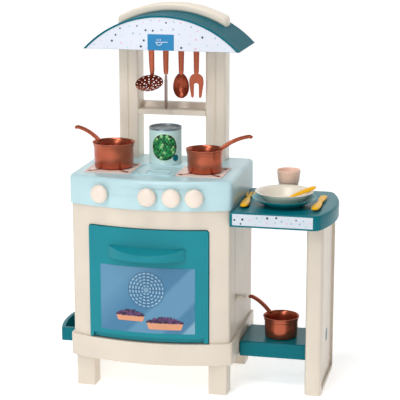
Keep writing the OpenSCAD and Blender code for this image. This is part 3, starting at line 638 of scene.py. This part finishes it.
def dot_piece(name, places, sizes, x0, front, z0, material):
    """Flat round dots of ink on an upright face."""
    parts = [moved(plaque(ellipse(r, r, 14), INK_DEPTH), shift(x0 + x, front, z0 + z))
             for (x, z), r in zip(places, sizes)]
    add_piece(name, joined(parts), "kitchen", material)


def speckles(node, inside, count, spacing, seed, inks):
    """Sparse dots of four inks over a printed film."""
    low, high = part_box(node)
    places = scatter(count, inside, spacing, seed)
    rng = Random(seed + 1)
    for k, (ink, material, smallest, largest) in enumerate(inks):
        share = places[k::len(inks)]
        sizes = [rng.uniform(smallest, largest) for _ in share]
        dot_piece("%s_%s" % (node, ink), share, sizes, (low.x + high.x) / 2, low.y, low.z, material)


def hood_prints():
    low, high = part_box("hood_sticker")
    radius = 0.2471
    centre = high.z - radius - low.z

    def on_hood(x, z):
        clear_of_emblem = abs(x - 0.001) > 0.038 or z > 0.044
        return clear_of_emblem and z > 0.005 and x * x + (z - centre) ** 2 < (radius - 0.006) ** 2

    speckles("hood_sticker", on_hood, 76, 0.0155, 11, INKS)
    front = low.y
    plate = plaque(rounded_rect(0.062, 0.0365, 0.0006, 2, CABINET_X + 0.001, low.z + 0.0185), 0.0004)
    add_piece("emblem_plate", moved(plate, shift(0, front, 0)), "kitchen", EMBLEM_BLUE)
    mark = [ring_sector(0.0058, 0.0072, pi, 2 * pi, 20), rounded_rect(0.0165, 0.0014, 0.0005, 2),
            rounded_rect(0.013, 0.0014, 0.0005, 2, 0.0145, 0.0006)]
    for x in (-0.004, 0, 0.004):
        mark.append(ring_sector(0.0022, 0.0031, -pi / 3, pi / 3, 8, x - 0.0026, 0.0055))
    parts = [plaque(line, INK_DEPTH) for line in mark]
    place = shift(CABINET_X - 0.003, front - 0.0004, low.z + 0.0185)
    add_piece("emblem_pan", moved(joined(parts), place), "kitchen", FILM_WHITE)


def table_prints():
    low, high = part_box("table_sticker")
    half, tall = (high.x - low.x) / 2, high.z - low.z

    def on_table_band(x, z):
        return abs(x) < half - 0.004 and 0.004 < z < tall - 0.004

    speckles("table_sticker", on_table_band, 30, 0.0105, 5, INKS)


# -------- oven window

RING_PIECES = 48

def film_piece(name, parts, lift, material):
    """Low relief bent over the window film."""
    bm = wrap(joined(parts), CABINET_X, BOW_Y, FILM_RADIUS + lift)
    add_piece(name, bm, "oven_door", material)


def fan_grille():
    """Rings of short dashes and darker rings between them, with four spokes and small rays."""
    cx, cz = 0.0, 0.254
    pale, dark = [], []
    for k, r in enumerate((0.0100, 0.0172, 0.0244, 0.0316, 0.0388)):
        count = 8 + 4 * k
        for i in range(count):
            a = 2 * pi * (i + 0.5) / count
            span = 2 * pi / count * 0.31
            pale.append(plaque(ring_sector(r - 0.0014, r + 0.0014, a - span, a + span, 4, cx, cz),
                               INK_DEPTH))
        for i in range(RING_PIECES):
            a, b = 2 * pi * i / RING_PIECES, 2 * pi * (i + 1) / RING_PIECES
            dark.append(plaque(ring_sector(r + 0.0030, r + 0.0042, a, b, 1, cx, cz), INK_DEPTH))
    for i in range(4):
        spoke = rounded_rect(0.036, 0.0014, 0.0002, 1, 0.0250)
        dark.append(plaque(placed(spoke, cx, cz, i * pi / 2), 0.0004))
    for i in range(12):
        ray = rounded_rect(0.0052, 0.0009, 0.0002, 1, 0.0040)
        pale.append(plaque(placed(ray, cx, cz, i * pi / 6), 0.0003))
    film_piece("fan_slots", pale, 0.0001, FAN_WHITE)
    film_piece("fan_rings", dark, 0.0001, FAN_DARK)


def tart(name, x, z, width, tall):
    """A baked dish heaped with berries, in low relief on the window film."""
    steps = 24
    dish_top = z - tall * 0.08
    dish_low = z - tall / 2
    rows = [(0.80, dish_low), (0.86, dish_low + 0.001), (0.97, dish_top - 0.001), (1.0, dish_top)]
    bars = []
    for i in range(steps):
        left, right = 2 * i / steps - 1, 2 * (i + 1) / steps - 1
        crimp = 0.0008 * (i % 2)
        line = [(x + width / 2 * right * k, h) for k, h in rows]
        line += [(x + width / 2 * left * k, h) for k, h in reversed(rows)]
        bars.append(plaque(line, 0.0003 + crimp * 0.3))
    film_piece(name + "_dish", bars, 0.0001, CRUST)
    rng = Random(len(name) + int(width * 1000))
    berries = ([], [])
    r = 0.0029
    for row in range(4):
        reach = width / 2 * (1 - (row / 4) ** 1.6) - r
        z_row = dish_top + 0.001 + row * r * 1.25
        count = int(2 * reach / (1.55 * r))
        for i in range(count + 1):
            bx = x - reach + 2 * reach * i / count + rng.uniform(-0.0005, 0.0005)
            bz = z_row + rng.uniform(-0.0004, 0.0004)
            berry = dome(bx, bz, r * rng.uniform(0.85, 1.1), 0.0009, 10)
            berries[rng.randrange(2)].append(berry)
    for tone, group, material in (("dark", berries[0], BERRY_DARK), ("light", berries[1], BERRY)):
        film_piece("%s_berries_%s" % (name, tone), group, 0.0003, material)


# -------- side table

SHELF_SLOT_Y = 0.165

def table_top():
    low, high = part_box("table_top")
    radius = 0.3251
    mid_y = (low.y + high.y) / 2

    def plan(inset):
        flat = bowed_plan(radius, (high.y - low.y) / 2, -0.0974, 0.022, 0.004, inset)
        return placed(flat, high.x - radius, mid_y, pi / 2)

    hollow_slab("table_moulding", "table_top", plan, 0.006, DEEP_TEAL)


def lower_shelf():
    low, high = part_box("lower_shelf")
    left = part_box("plinth")[1].x + 0.0003
    right = high.x - 0.005
    w, d = right - left, high.y - low.y

    def plan(inset):
        return rounded_rect(w - 2 * inset, d - 2 * inset, 0.007 - inset * 0.9, 6, (left + right) / 2,
                            (low.y + high.y) / 2)

    hollow_slab("shelf_moulding", "lower_shelf", plan, 0.006, DEEP_TEAL)
    tenon = lathe([(0, 0), (0.013, 0), (0.013, 0.0025), (0.012, 0.0030), (0, 0.0030)], 40)
    place = shift(high.x - 0.0065, spot(0, SHELF_SLOT_Y).y, 0.0895) @ turned(90, "Y")
    add_piece("shelf_tenon", moved(tenon, place), "kitchen", DEEP_TEAL)


def carved(bm, cutters):
    """bm with the cutters taken out of it."""
    for part in [bm] + cutters:
        bmesh.ops.recalc_face_normals(part, faces=part.faces)
    body = mesh_object("carving", bm)
    tools = [mesh_object("cutter", c) for c in cutters]
    for tool in tools:
        mod = body.modifiers.new("Cut", "BOOLEAN")
        mod.operation = "DIFFERENCE"
        mod.solver = "EXACT"
        mod.object = tool
    result = bmesh.new()
    result.from_mesh(body.evaluated_get(bpy.context.evaluated_depsgraph_get()).to_mesh())
    for obj in [body] + tools:
        bpy.data.objects.remove(obj)
    return result


def leg_panel():
    """The side table's far support: rounded front edge, a pocket in each face, a slot for the shelf."""
    low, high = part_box("table_leg_panel")
    foot_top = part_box("table_top")[0].z - 0.0003
    cx, cy = (low.x + high.x) / 2, (low.y + high.y) / 2
    w, d = high.x - low.x, high.y - low.y
    rings = [(0.0012, low.z), (0.0, low.z + 0.0012), (0.0, foot_top - 0.001), (0.001, foot_top)]
    body = loft([[(x, y, z) for x, y in rounded_rect(w - 2 * i, d - 2 * i, 0.009 - i, 8, cx, cy)]
                 for i, z in rings])
    face_x = high.x - 0.006
    tall = foot_top - low.z

    def upright(x0, x1, depth, height, r):
        flat = prism(rounded_rect(depth, height, r, 6), x0, x1)
        return moved(flat, sideways(0, cy, low.z + tall / 2))

    cutters = [upright(low.x - 0.01, face_x - WALL, d - 0.008, tall - 0.008, 0.005),
               upright(face_x, high.x + 0.01, d - 0.022, tall - 0.024, 0.006)]
    slot_y, slot_z = spot(0, SHELF_SLOT_Y).y, 0.1115
    slot_hole = moved(prism(rounded_rect(0.030, 0.030, 0.008), -0.02, 0.02),
                      sideways(face_x, slot_y, slot_z))
    obj = add_piece("leg_panel_moulding", carved(body, cutters + [slot_hole]), "kitchen",
                    CREAM, ("table_leg_panel",))
    bevel(obj, 0.0012, 2)
    lug = moved(prism(rounded_rect(0.028, 0.028, 0.007), 0, 0.004),
                sideways(face_x - 0.0045, slot_y, slot_z))
    bevel(add_piece("shelf_lug", lug, "kitchen", DEEP_TEAL), 0.0012, 2)
    stud = lathe([(0.004, 0), (0.004, 0.001), (0.0025, 0.0022), (0, 0.0026)], 20)
    place = shift(face_x, spot(0, 0.228).y, 0.040) @ turned(90, "Y")
    add_piece("leg_panel_stud", moved(stud, place), "kitchen", CREAM)


def side_peg():
    """A small hook moulded on the cabinet's right side."""
    peg = lathe([(0.0080, 0), (0.0080, 0.0010), (0.0052, 0.0016), (0.0048, 0.0070), (0.0066, 0.0086),
                 (0.0064, 0.0112), (0.0042, 0.0128), (0, 0.0133)], 24)
    face_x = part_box("side_panel_right")[1].x
    place = shift(face_x - 0.0002, spot(0, 0.078).y, 0.2165) @ turned(90, "Y")
    add_piece("side_peg", moved(peg, place), "kitchen", CREAM)


# -------- hanging utensils

RAIL_Z = 0.806
HANDLE_FOOT = 0.0885
SKIMMER_LEAN = 6


def handle_and_hook():
    """A waisted handle under an open hook; the rail passes through the origin."""
    hook = [Vector((0, y, z)) for y, z in arc(0, 0, 0.0053, radians(-95), radians(155), 20)]
    parts = [sweep(hook, lambda t: ellipse(0.0034, 0.0016, 12), Vector((1, 0, 0)))]
    rings = []
    steps = 24
    for i in range(steps + 1):
        t = i / steps
        z = -0.004 - (HANDLE_FOOT - 0.002) * t
        grip = 0.0079 - 0.0020 * t
        half = grip * min(1, 0.45 + 2.4 * t) * (1 - 0.16 * max(0, t - 0.9) / 0.1)
        rings.append([(x, y, z) for x, y in ellipse(half, half * 0.78, 20)])
    return parts + [loft(rings)]


def hang(name, node, head=()):
    """A copper utensil that hangs on the rail by its own hook."""
    x, y, _ = JOINTS[node + "_swing"]["pos_m"]
    lean = turned(SKIMMER_LEAN, "X") if node == "skimmer" else Matrix()
    whole = moved(joined(handle_and_hook() + list(head)), shift(x, y, RAIL_Z) @ lean)
    add_piece(name, whole, node, COPPER, (node,), 50)


def fan(bm, centre, ring):
    """Triangles from a middle point to a ring round it."""
    for i, v in enumerate(ring):
        bm.faces.new((centre, v, ring[(i + 1) % len(ring)]))


def strainer(radius, depth):
    """A dished disc with rings of slots cut through it."""
    sectors = 56
    radii = [0.005, 0.0075, 0.010, 0.013, 0.0165, 0.0205, 0.0235, 0.0285, 0.0305, radius]
    slotted = {2: 8, 4: 8, 6: 4, 8: 4}
    bm = bmesh.new()
    turn = [2 * pi * i / sectors for i in range(sectors)]
    grid = [[bm.verts.new((r * cos(a), r * sin(a), -depth * (1 - (r / radius) ** 2))) for a in turn]
            for r in radii]
    centre = bm.verts.new((0, 0, -depth))
    fan(bm, centre, grid[0])
    for k in range(len(grid) - 1):
        group = slotted.get(k + 1)
        for i in range(sectors):
            j = (i + 1) % sectors
            if group and (i % group) < group / 4:
                continue
            bm.faces.new((grid[k][i], grid[k + 1][i], grid[k + 1][j], grid[k][j]))
    # New faces have no normals yet, so the second skin lies on the first and adds no thickness.
    bmesh.ops.solidify(bm, geom=bm.faces, thickness=0.0016)
    return bm


def skimmer():
    tilt, dish_r = 22, 0.033
    place = shift(0, -dish_r * cos(radians(tilt)) + 0.001,
                  -HANDLE_FOOT - 0.007 - dish_r * sin(radians(tilt)))
    dish = moved(strainer(dish_r, 0.008), place @ turned(tilt, "X"))
    neck = moved(lathe([(0.0052, 0), (0.0048, -0.007), (0.0036, -0.0098), (0, -0.0102)], 20),
                 shift(0, 0, -HANDLE_FOOT + 0.001))
    hang("skimmer_ladle", "skimmer", [neck, dish])


def palette_knife():
    right_side = [(0.011, -0.018), (0.006, -0.005), (0.0038, 0.001)]
    left_side = [(-x, z) for x, z in reversed(right_side)]
    outline = arc(0, -0.075, 0.011, pi, 2 * pi, 16) + right_side + left_side
    blade = moved(prism(outline, -0.0013, 0.0013), sideways(0, 0, -HANDLE_FOOT))
    hang("palette_handle", "palette_knife")
    x, y, _ = JOINTS["palette_knife_swing"]["pos_m"]
    moved(blade, shift(x, y, RAIL_Z))
    bevel(add_piece("palette_blade", blade, "palette_knife", BLADE), 0.0008, 2)


def spoon_bowl(half_w, half_l, depth, thick=0.0018):
    """An oval dished leaf in the x-z plane, hollow towards -Y."""
    rows, sectors = 10, 40
    bm = bmesh.new()
    centre = bm.verts.new((0, depth, 0))
    grid = []
    for k in range(1, rows + 1):
        t = k / rows
        ring = []
        for i in range(sectors):
            a = 2 * pi * i / sectors
            narrow = 1 - 0.10 * sin(a)
            ring.append(bm.verts.new((half_w * t * cos(a) * narrow, depth * (1 - t ** 2.4),
                                      half_l * t * sin(a))))
        grid.append(ring)
    fan(bm, centre, grid[0])
    for a, b in zip(grid, grid[1:]):
        for i in range(sectors):
            j = (i + 1) % sectors
            bm.faces.new((a[i], b[i], b[j], a[j]))
    # New faces have no normals yet, so the second skin lies on the first and adds no thickness.
    bmesh.ops.solidify(bm, geom=bm.faces, thickness=thick)
    return bm


def serving_spoon():
    bowl = moved(spoon_bowl(0.0194, 0.0300, 0.0080), shift(0, -0.002, -HANDLE_FOOT - 0.028))
    hang("spoon_ladle", "serving_spoon", [bowl])


def carving_fork():
    head, tip = -0.1035, -0.1445
    outline = [(-0.0035, head + 0.018), (-0.0045, head + 0.0155)]
    outline += arc(0, head, 0.0170, pi * 0.64, pi * 1.0, 10)
    outline += [(-0.0170, head - 0.008), (-0.0124, tip + 0.003), (-0.0105, tip), (-0.0080, tip),
                (-0.0062, tip + 0.003)]
    outline += arc(0, head - 0.012, 0.0058, pi, 0, 12)
    outline += [(-x, z) for x, z in reversed(outline[:-13])]
    prongs = loft([[(x, y, z) for x, z in outline] for y in (-0.0024, 0.0024)])
    obj = add_piece("fork_head", moved(prongs, shift(*JOINTS["carving_fork_swing"]["pos_m"])),
                    "carving_fork", COPPER)
    bevel(obj, 0.0014, 3)
    hang("fork_handle", "carving_fork")


# -------- pans, can and tableware

CAN_FACING = CAMERA_AZIMUTH - radians(3)

def pan_handle(r, h):
    """A channelled grip that climbs from the rim in an arc and turns down at its tip."""
    rise, tip, start, end = 0.130, 0.008, radians(127), radians(95)
    cx, cz = r - 0.002 - rise * cos(start), h - 0.004 - rise * sin(start)
    path = [Vector((x, 0, z)) for x, z in arc(cx, cz, rise, start, end, 24)]
    tx, tz = cx + (rise - tip) * cos(end), cz + (rise - tip) * sin(end)
    path += [Vector((x, 0, z)) for x, z in arc(tx, tz, tip, end - 0.2, radians(33), 8)]

    def section(t):
        w = 0.0045 - 0.0002 * min(t * 1.6, 1)
        k = 0.0041
        g = w * 0.36
        return [(-w, -k * 0.5), (-w + 0.0016, -k), (w - 0.0016, -k), (w, -k * 0.5), (w, k * 0.6),
                (w - 0.0011, k), (g + 0.0006, k), (g, k * 0.45), (-g, k * 0.45), (-g - 0.0006, k),
                (-w + 0.0011, k), (-w, k * 0.6)]

    return sweep(path, section)


def saucepan(name, centre, r, h, angle):
    """A pan with a bead under its rolled rim, a grip and a rivet."""
    profile = [(0, 0.0012), (r - 0.009, 0.0012), (r - 0.0068, 0.0), (r - 0.0034, 0.0008),
               (r - 0.0018, 0.0034), (r - 0.0009, h * 0.5), (r - 0.0005, h - 0.0115),
               (r - 0.0002, h - 0.0108), (r + 0.0006, h - 0.0102),
               (r + 0.0008, h - 0.0095), (r + 0.0012, h - 0.0045), (r + 0.0024, h - 0.0026),
               (r + 0.0030, h - 0.0013), (r + 0.0028, h - 0.0002), (r + 0.0020, h),
               (r + 0.0006, h - 0.0008), (r - 0.0012, h - 0.0035), (r - 0.0028, h - 0.012),
               (r - 0.0042, h * 0.5), (r - 0.0058, 0.006), (r - 0.0085, 0.0032), (r - 0.012, 0.0024),
               (0, 0.0024)]
    place = shift(*centre) @ turned(angle, "Z")
    add_piece(name + "_pan", moved(lathe(profile, 96), place), name, COPPER,
              (name,), 60)
    grip = add_piece(name + "_grip", moved(pan_handle(r, h), place), name, COPPER)
    bevel(grip, 0.0005, 2)
    rivet = moved(lathe([(0.0024, 0), (0.0022, 0.0008), (0.0012, 0.0014), (0, 0.0015)], 16),
                  place @ shift(r + 0.0004, 0, h - 0.0075) @ turned(90, "Y"))
    add_piece(name + "_rivet", rivet, name, COPPER)


def can():
    """A can with a grooved lid, its print turned towards the front right."""
    low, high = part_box("can_body")
    cx, cy = (low.x + high.x) / 2, (low.y + high.y) / 2
    r, h = (high.x - low.x) / 2 - 0.0012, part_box("can_lid")[1].z - low.z
    axis = shift(cx, cy, low.z)
    body = [(0, 0.001), (r - 0.003, 0.001), (r - 0.002, 0), (r, 0.0006), (r, 0.002),
            (r - 0.0006, 0.0028), (r - 0.0006, h - 0.0052), (r - 0.0026, h - 0.0052),
            (r - 0.0026, 0.003), (0, 0.003)]
    add_piece("can_label", moved(lathe(body, 96), axis), "can", LABEL_BLUE, ("can_body",))
    lid = [(0, h - 0.0042), (0.010, h - 0.0042), (0.011, h - 0.0036), (0.013, h - 0.0036),
           (0.014, h - 0.0042), (0.022, h - 0.0042), (0.0235, h - 0.0034), (0.0255, h - 0.0034),
           (0.027, h - 0.0042), (r - 0.0042, h - 0.0042), (r - 0.0032, h - 0.0005), (r - 0.0016, h),
           (r, h - 0.0006), (r + 0.0002, h - 0.0022), (r - 0.0008, h - 0.0040),
           (r - 0.0002, h - 0.0054), (r - 0.0012, h - 0.0066), (0, h - 0.0066)]
    add_piece("can_ridged_lid", moved(lathe(lid, 96), axis), "can", TIN_GREY,
              ("can_lid",))

    def on_can(name, parts, lift, material):
        bm = wrap(joined(parts), cx, cy, r - 0.0006 + lift, CAN_FACING)
        add_piece(name, bm, "can", material)

    def disc(radius, x, z, sectors, bands, depth):
        """A round print in small pieces, so that it bends with the can."""
        step = 2 * pi / sectors
        return [plaque(ring_sector(radius * a, radius * b, step * i, step * (i + 1), 2, x, z), depth)
                for i in range(sectors) for a, b in bands]

    z0, disc_r = low.z + 0.0430, 0.0312
    bands = ((0.02, 0.35), (0.35, 0.7), (0.7, 1.0))
    halo = disc(disc_r + 0.0020, 0, z0, 24, bands, INK_DEPTH)
    on_can("can_halo", halo, 0.0001, HALO)
    bed = disc(disc_r, 0, z0, 24, bands, INK_DEPTH)
    on_can("can_pea_bed", bed, 0.0003, PEA_DARK)
    rng = Random(3)
    peas = {"dark": [], "mid": [], "light": []}
    pitch = 0.0072
    for row in range(-5, 6):
        for col in range(-5, 6):
            x = (col + 0.5 * (row % 2)) * pitch + rng.uniform(-0.0009, 0.0009)
            z = row * pitch * 0.87 + rng.uniform(-0.0009, 0.0009)
            size = rng.uniform(0.0034, 0.0048)
            if sqrt(x * x + z * z) + size < disc_r:
                shade = rng.choice(("dark", "dark", "mid", "mid", "light"))
                peas[shade].append(dome(x, z0 + z, size, 0.0022, 12))
    for shade, material in (("dark", PEA_DEEP), ("mid", PEA_GREEN), ("light", PEA_PALE)):
        on_can("can_peas_" + shade, peas[shade], 0.0004, material)
    badge_r, pinhole_r = 0.0078, 0.0002
    badge = disc(badge_r, 0.0285, z0 - 0.0265, 12, ((pinhole_r / badge_r, 1),), 2 * INK_DEPTH)
    on_can("can_badge", badge, 0.0001, DEEP_TEAL)


def turned_ware(name, node, profile, material):
    """A plate, bowl or cup turned about the middle of its CAD node."""
    ware = moved(lathe(profile, 96), shift(*middle(node)))
    add_piece(name, ware, node, material, (node,), 60)


def tableware():
    plate = [(0, 0.0012), (0.041, 0.0012), (0.0425, 0), (0.044, 0.0002), (0.0452, 0.0018),
             (0.057, 0.0075), (0.0685, 0.0140), (0.0732, 0.0168), (0.0740, 0.0176),
             (0.0734, 0.0180), (0.0690, 0.0168), (0.061, 0.0120), (0.046, 0.0040), (0.043, 0.0032),
             (0, 0.0030)]
    turned_ware("plate_dish", "dinner_plate", plate, PLATE_TEAL)
    bowl = [(0, 0.0012), (0.035, 0.0012), (0.0365, 0), (0.038, 0.0003), (0.0395, 0.0020),
            (0.0490, 0.0135), (0.0570, 0.0232), (0.0600, 0.0258), (0.0660, 0.0280),
            (0.0670, 0.0287), (0.0666, 0.0290), (0.0615, 0.0284), (0.0585, 0.0268),
            (0.0540, 0.0222), (0.0455, 0.0120), (0.0390, 0.0042), (0.036, 0.0031), (0, 0.0030)]
    turned_ware("serving_bowl", "bowl", bowl, BOWL_CREAM)
    cup = [(0, 0.002), (0.0165, 0.002), (0.0175, 0), (0.0195, 0.0002), (0.0205, 0.0022),
           (0.0235, 0.030), (0.0236, 0.0312), (0.0247, 0.0320), (0.0250, 0.0332), (0.0276, 0.0570),
           (0.0280, 0.0592), (0.0274, 0.0600), (0.0264, 0.0594), (0.0258, 0.0570),
           (0.0215, 0.0240), (0.0186, 0.0052), (0.0170, 0.0038), (0, 0.0036)]
    turned_ware("drinking_cup", "cup", cup, PEACH)


def cutlery_handle(length=0.0942):
    """A leaf-shaped handle along +Y, crowned above and flatter below."""
    rings = []
    steps = 28
    for i in range(steps + 1):
        t = i / steps
        y = 0.0008 + length * t
        wide = 0.0035 + 0.0065 * sin(pi * min(max((t * 1.06 - 0.02), 0), 1) ** 0.62) ** 0.6
        close = min(1, sqrt(max(1 - (1 - min(t / 0.06, 1)) ** 2, 0)) + 0.02)
        half = wide * close
        rings.append([(half * cos(a), y, 0.0052 + half * (0.42 if sin(a) > 0 else 0.30) * sin(a))
                      for a in [2 * pi * k / 20 for k in range(20)]])
    return loft(rings)


def table_fork():
    tines = [(-0.0030, 0.090), (0.0030, 0.090), (0.0034, 0.110)]
    tines += arc(0, 0.1195, 0.0098, -0.9, 0.0, 6)
    tines += [(0.0098, 0.152), (0.0088, 0.156), (0.0070, 0.156), (0.0062, 0.152)]
    tines += arc(0.0044, 0.1245, 0.0018, 0, -pi, 6)
    tines += [(0.0026, 0.152), (0.0016, 0.156)]
    tines += [(-x, y) for x, y in reversed(tines[2:])]
    return [cutlery_handle(), prism(tines, 0.0028, 0.0052)]


def table_knife():
    blade = [(-0.0045, 0.084), (0.0045, 0.084), (0.0066, 0.094), (0.0078, 0.104), (0.0078, 0.140)]
    blade += arc(0, 0.140, 0.0078, 0, pi, 8)[1:]
    return [cutlery_handle(), prism(blade + [(-0.0078, 0.104), (-0.0066, 0.094)], 0.0026, 0.0058)]


def table_spoon():
    flat = moved(spoon_bowl(0.0138, 0.0145, 0.0034, 0.0014), turned(-90, "X"))
    neck = prism([(-0.003, 0.065), (0.003, 0.065), (0.0036, 0.074), (-0.0036, 0.074)], 0.0032, 0.0056)
    return [cutlery_handle(0.072), neck, moved(flat, shift(0, 0.084, 0.0056))]


def cutlery(name, parts, place):
    obj = add_piece("yellow_" + name, moved(joined(parts), place), name, YELLOW,
                    (name,), 50)
    bevel(obj, 0.0006, 2, 50)


# -------- building


worktop()
worktop_relief()
hob_plate("hob_plate_left")
hob_plate("hob_plate_right")
for n in range(1, 5):
    knob(n)
top_arch()
hood_prints()
table_prints()
fan_grille()
tart("left_tart", x=-0.0385, z=0.194, width=0.070, tall=0.031)
tart("right_tart", x=0.0430, z=0.1805, width=0.0875, tall=0.038)
table_top()
lower_shelf()
leg_panel()
side_peg()
skimmer()
palette_knife()
serving_spoon()
carving_fork()
PAN_Z = TOP_Z + 0.0022
saucepan("saucepan_left", spot(-0.109, 0.092, PAN_Z), r=0.047, h=0.059, angle=154)
saucepan("saucepan_right", spot(0.110, 0.081, PAN_Z), r=0.041, h=0.054, angle=30)
saucepan("saucepan_small", spot(0.282, 0.143, SHELF_Z + 0.0002), r=0.040, h=0.051, angle=142)
can()
tableware()
cutlery("fork", table_fork(), shift(*spot(0.211, 0.026, WARE_Z + 0.0006)) @ turned(3.5, "Z"))
cutlery("knife", table_knife(), shift(*spot(0.372, 0.028, WARE_Z + 0.0006)) @ turned(-1, "Z"))
spoon_at = shift(*spot(0.366, 0.108, WARE_Z + 0.0368))
cutlery("spoon", table_spoon(), spoon_at @ turned(125, "Z") @ turned(-16, "X"))

# -------- stage, light and camera

STAGE_WHITE = (0.94, 0.94, 0.94, 1)
STAGE_GLOW = 0.52
WORLD_GLOW = 0.19


def backdrop():
    """A floor that curves up into a wall behind the object."""
    front_y, back_y, half, curve_r, wall_top = -16.0, 3.0, 12.0, 1.2, 6.0
    line = [(front_y, 0.0)] + arc(back_y, curve_r, curve_r, -pi / 2, 0, 16)
    line.append((back_y + curve_r, wall_top))
    bm = bmesh.new()
    rows = [[bm.verts.new((x, y, z)) for y, z in line] for x in (-half, half)]
    for i in range(len(line) - 1):
        bm.faces.new((rows[0][i], rows[1][i], rows[1][i + 1], rows[0][i + 1]))
    for face in bm.faces:
        face.smooth = True
    obj = mesh_object("studio_floor", bm)
    mat, _, shader = node_material("stage_white")
    shader.inputs["Base Color"].default_value = STAGE_WHITE
    shader.inputs["Roughness"].default_value = 0.9
    shader.inputs["Emission Color"].default_value = (1, 1, 1, 1)
    shader.inputs["Emission Strength"].default_value = STAGE_GLOW
    obj.data.materials.append(mat)


def area_light(name, place, size, power, aim_z):
    """A square lamp aimed at a height on the object's middle."""
    data = bpy.data.lights.new(name, "AREA")
    data.size = size
    data.energy = power
    obj = linked(name, data)
    obj.location = place
    obj.rotation_euler = (Vector((0, 0, aim_z)) - Vector(place)).to_track_quat("-Z", "Y").to_euler()


def camera():
    """The photograph's view."""
    a, e = CAMERA_AZIMUTH, CAMERA_ELEVATION
    back = Vector((sin(a) * cos(e), -cos(a) * cos(e), sin(e)))
    data = bpy.data.cameras.new("camera")
    data.lens = CAMERA_LENS
    data.clip_end = 50
    obj = linked("camera", data)
    obj.location = CAMERA_TARGET + back * CAMERA_DISTANCE
    obj.rotation_euler = (-back).to_track_quat("-Z", "Y").to_euler()
    bpy.context.scene.camera = obj


backdrop()
camera()
area_light("key", (-0.9, -2.7, 2.6), size=0.9, power=27, aim_z=0.7)
area_light("fill", (-0.3, -3.2, 1.3), size=1.2, power=17, aim_z=0.85)
area_light("top", (-0.2, -0.9, 2.9), size=1.2, power=30, aim_z=0.85)
world = bpy.data.worlds.new("studio")
world.use_nodes = True
sky = world.node_tree.nodes["Background"]
sky.inputs["Color"].default_value = (1, 1, 1, 1)
sky.inputs["Strength"].default_value = WORLD_GLOW
bpy.context.scene.world = world
bpy.context.scene.view_settings.view_transform = "Standard"
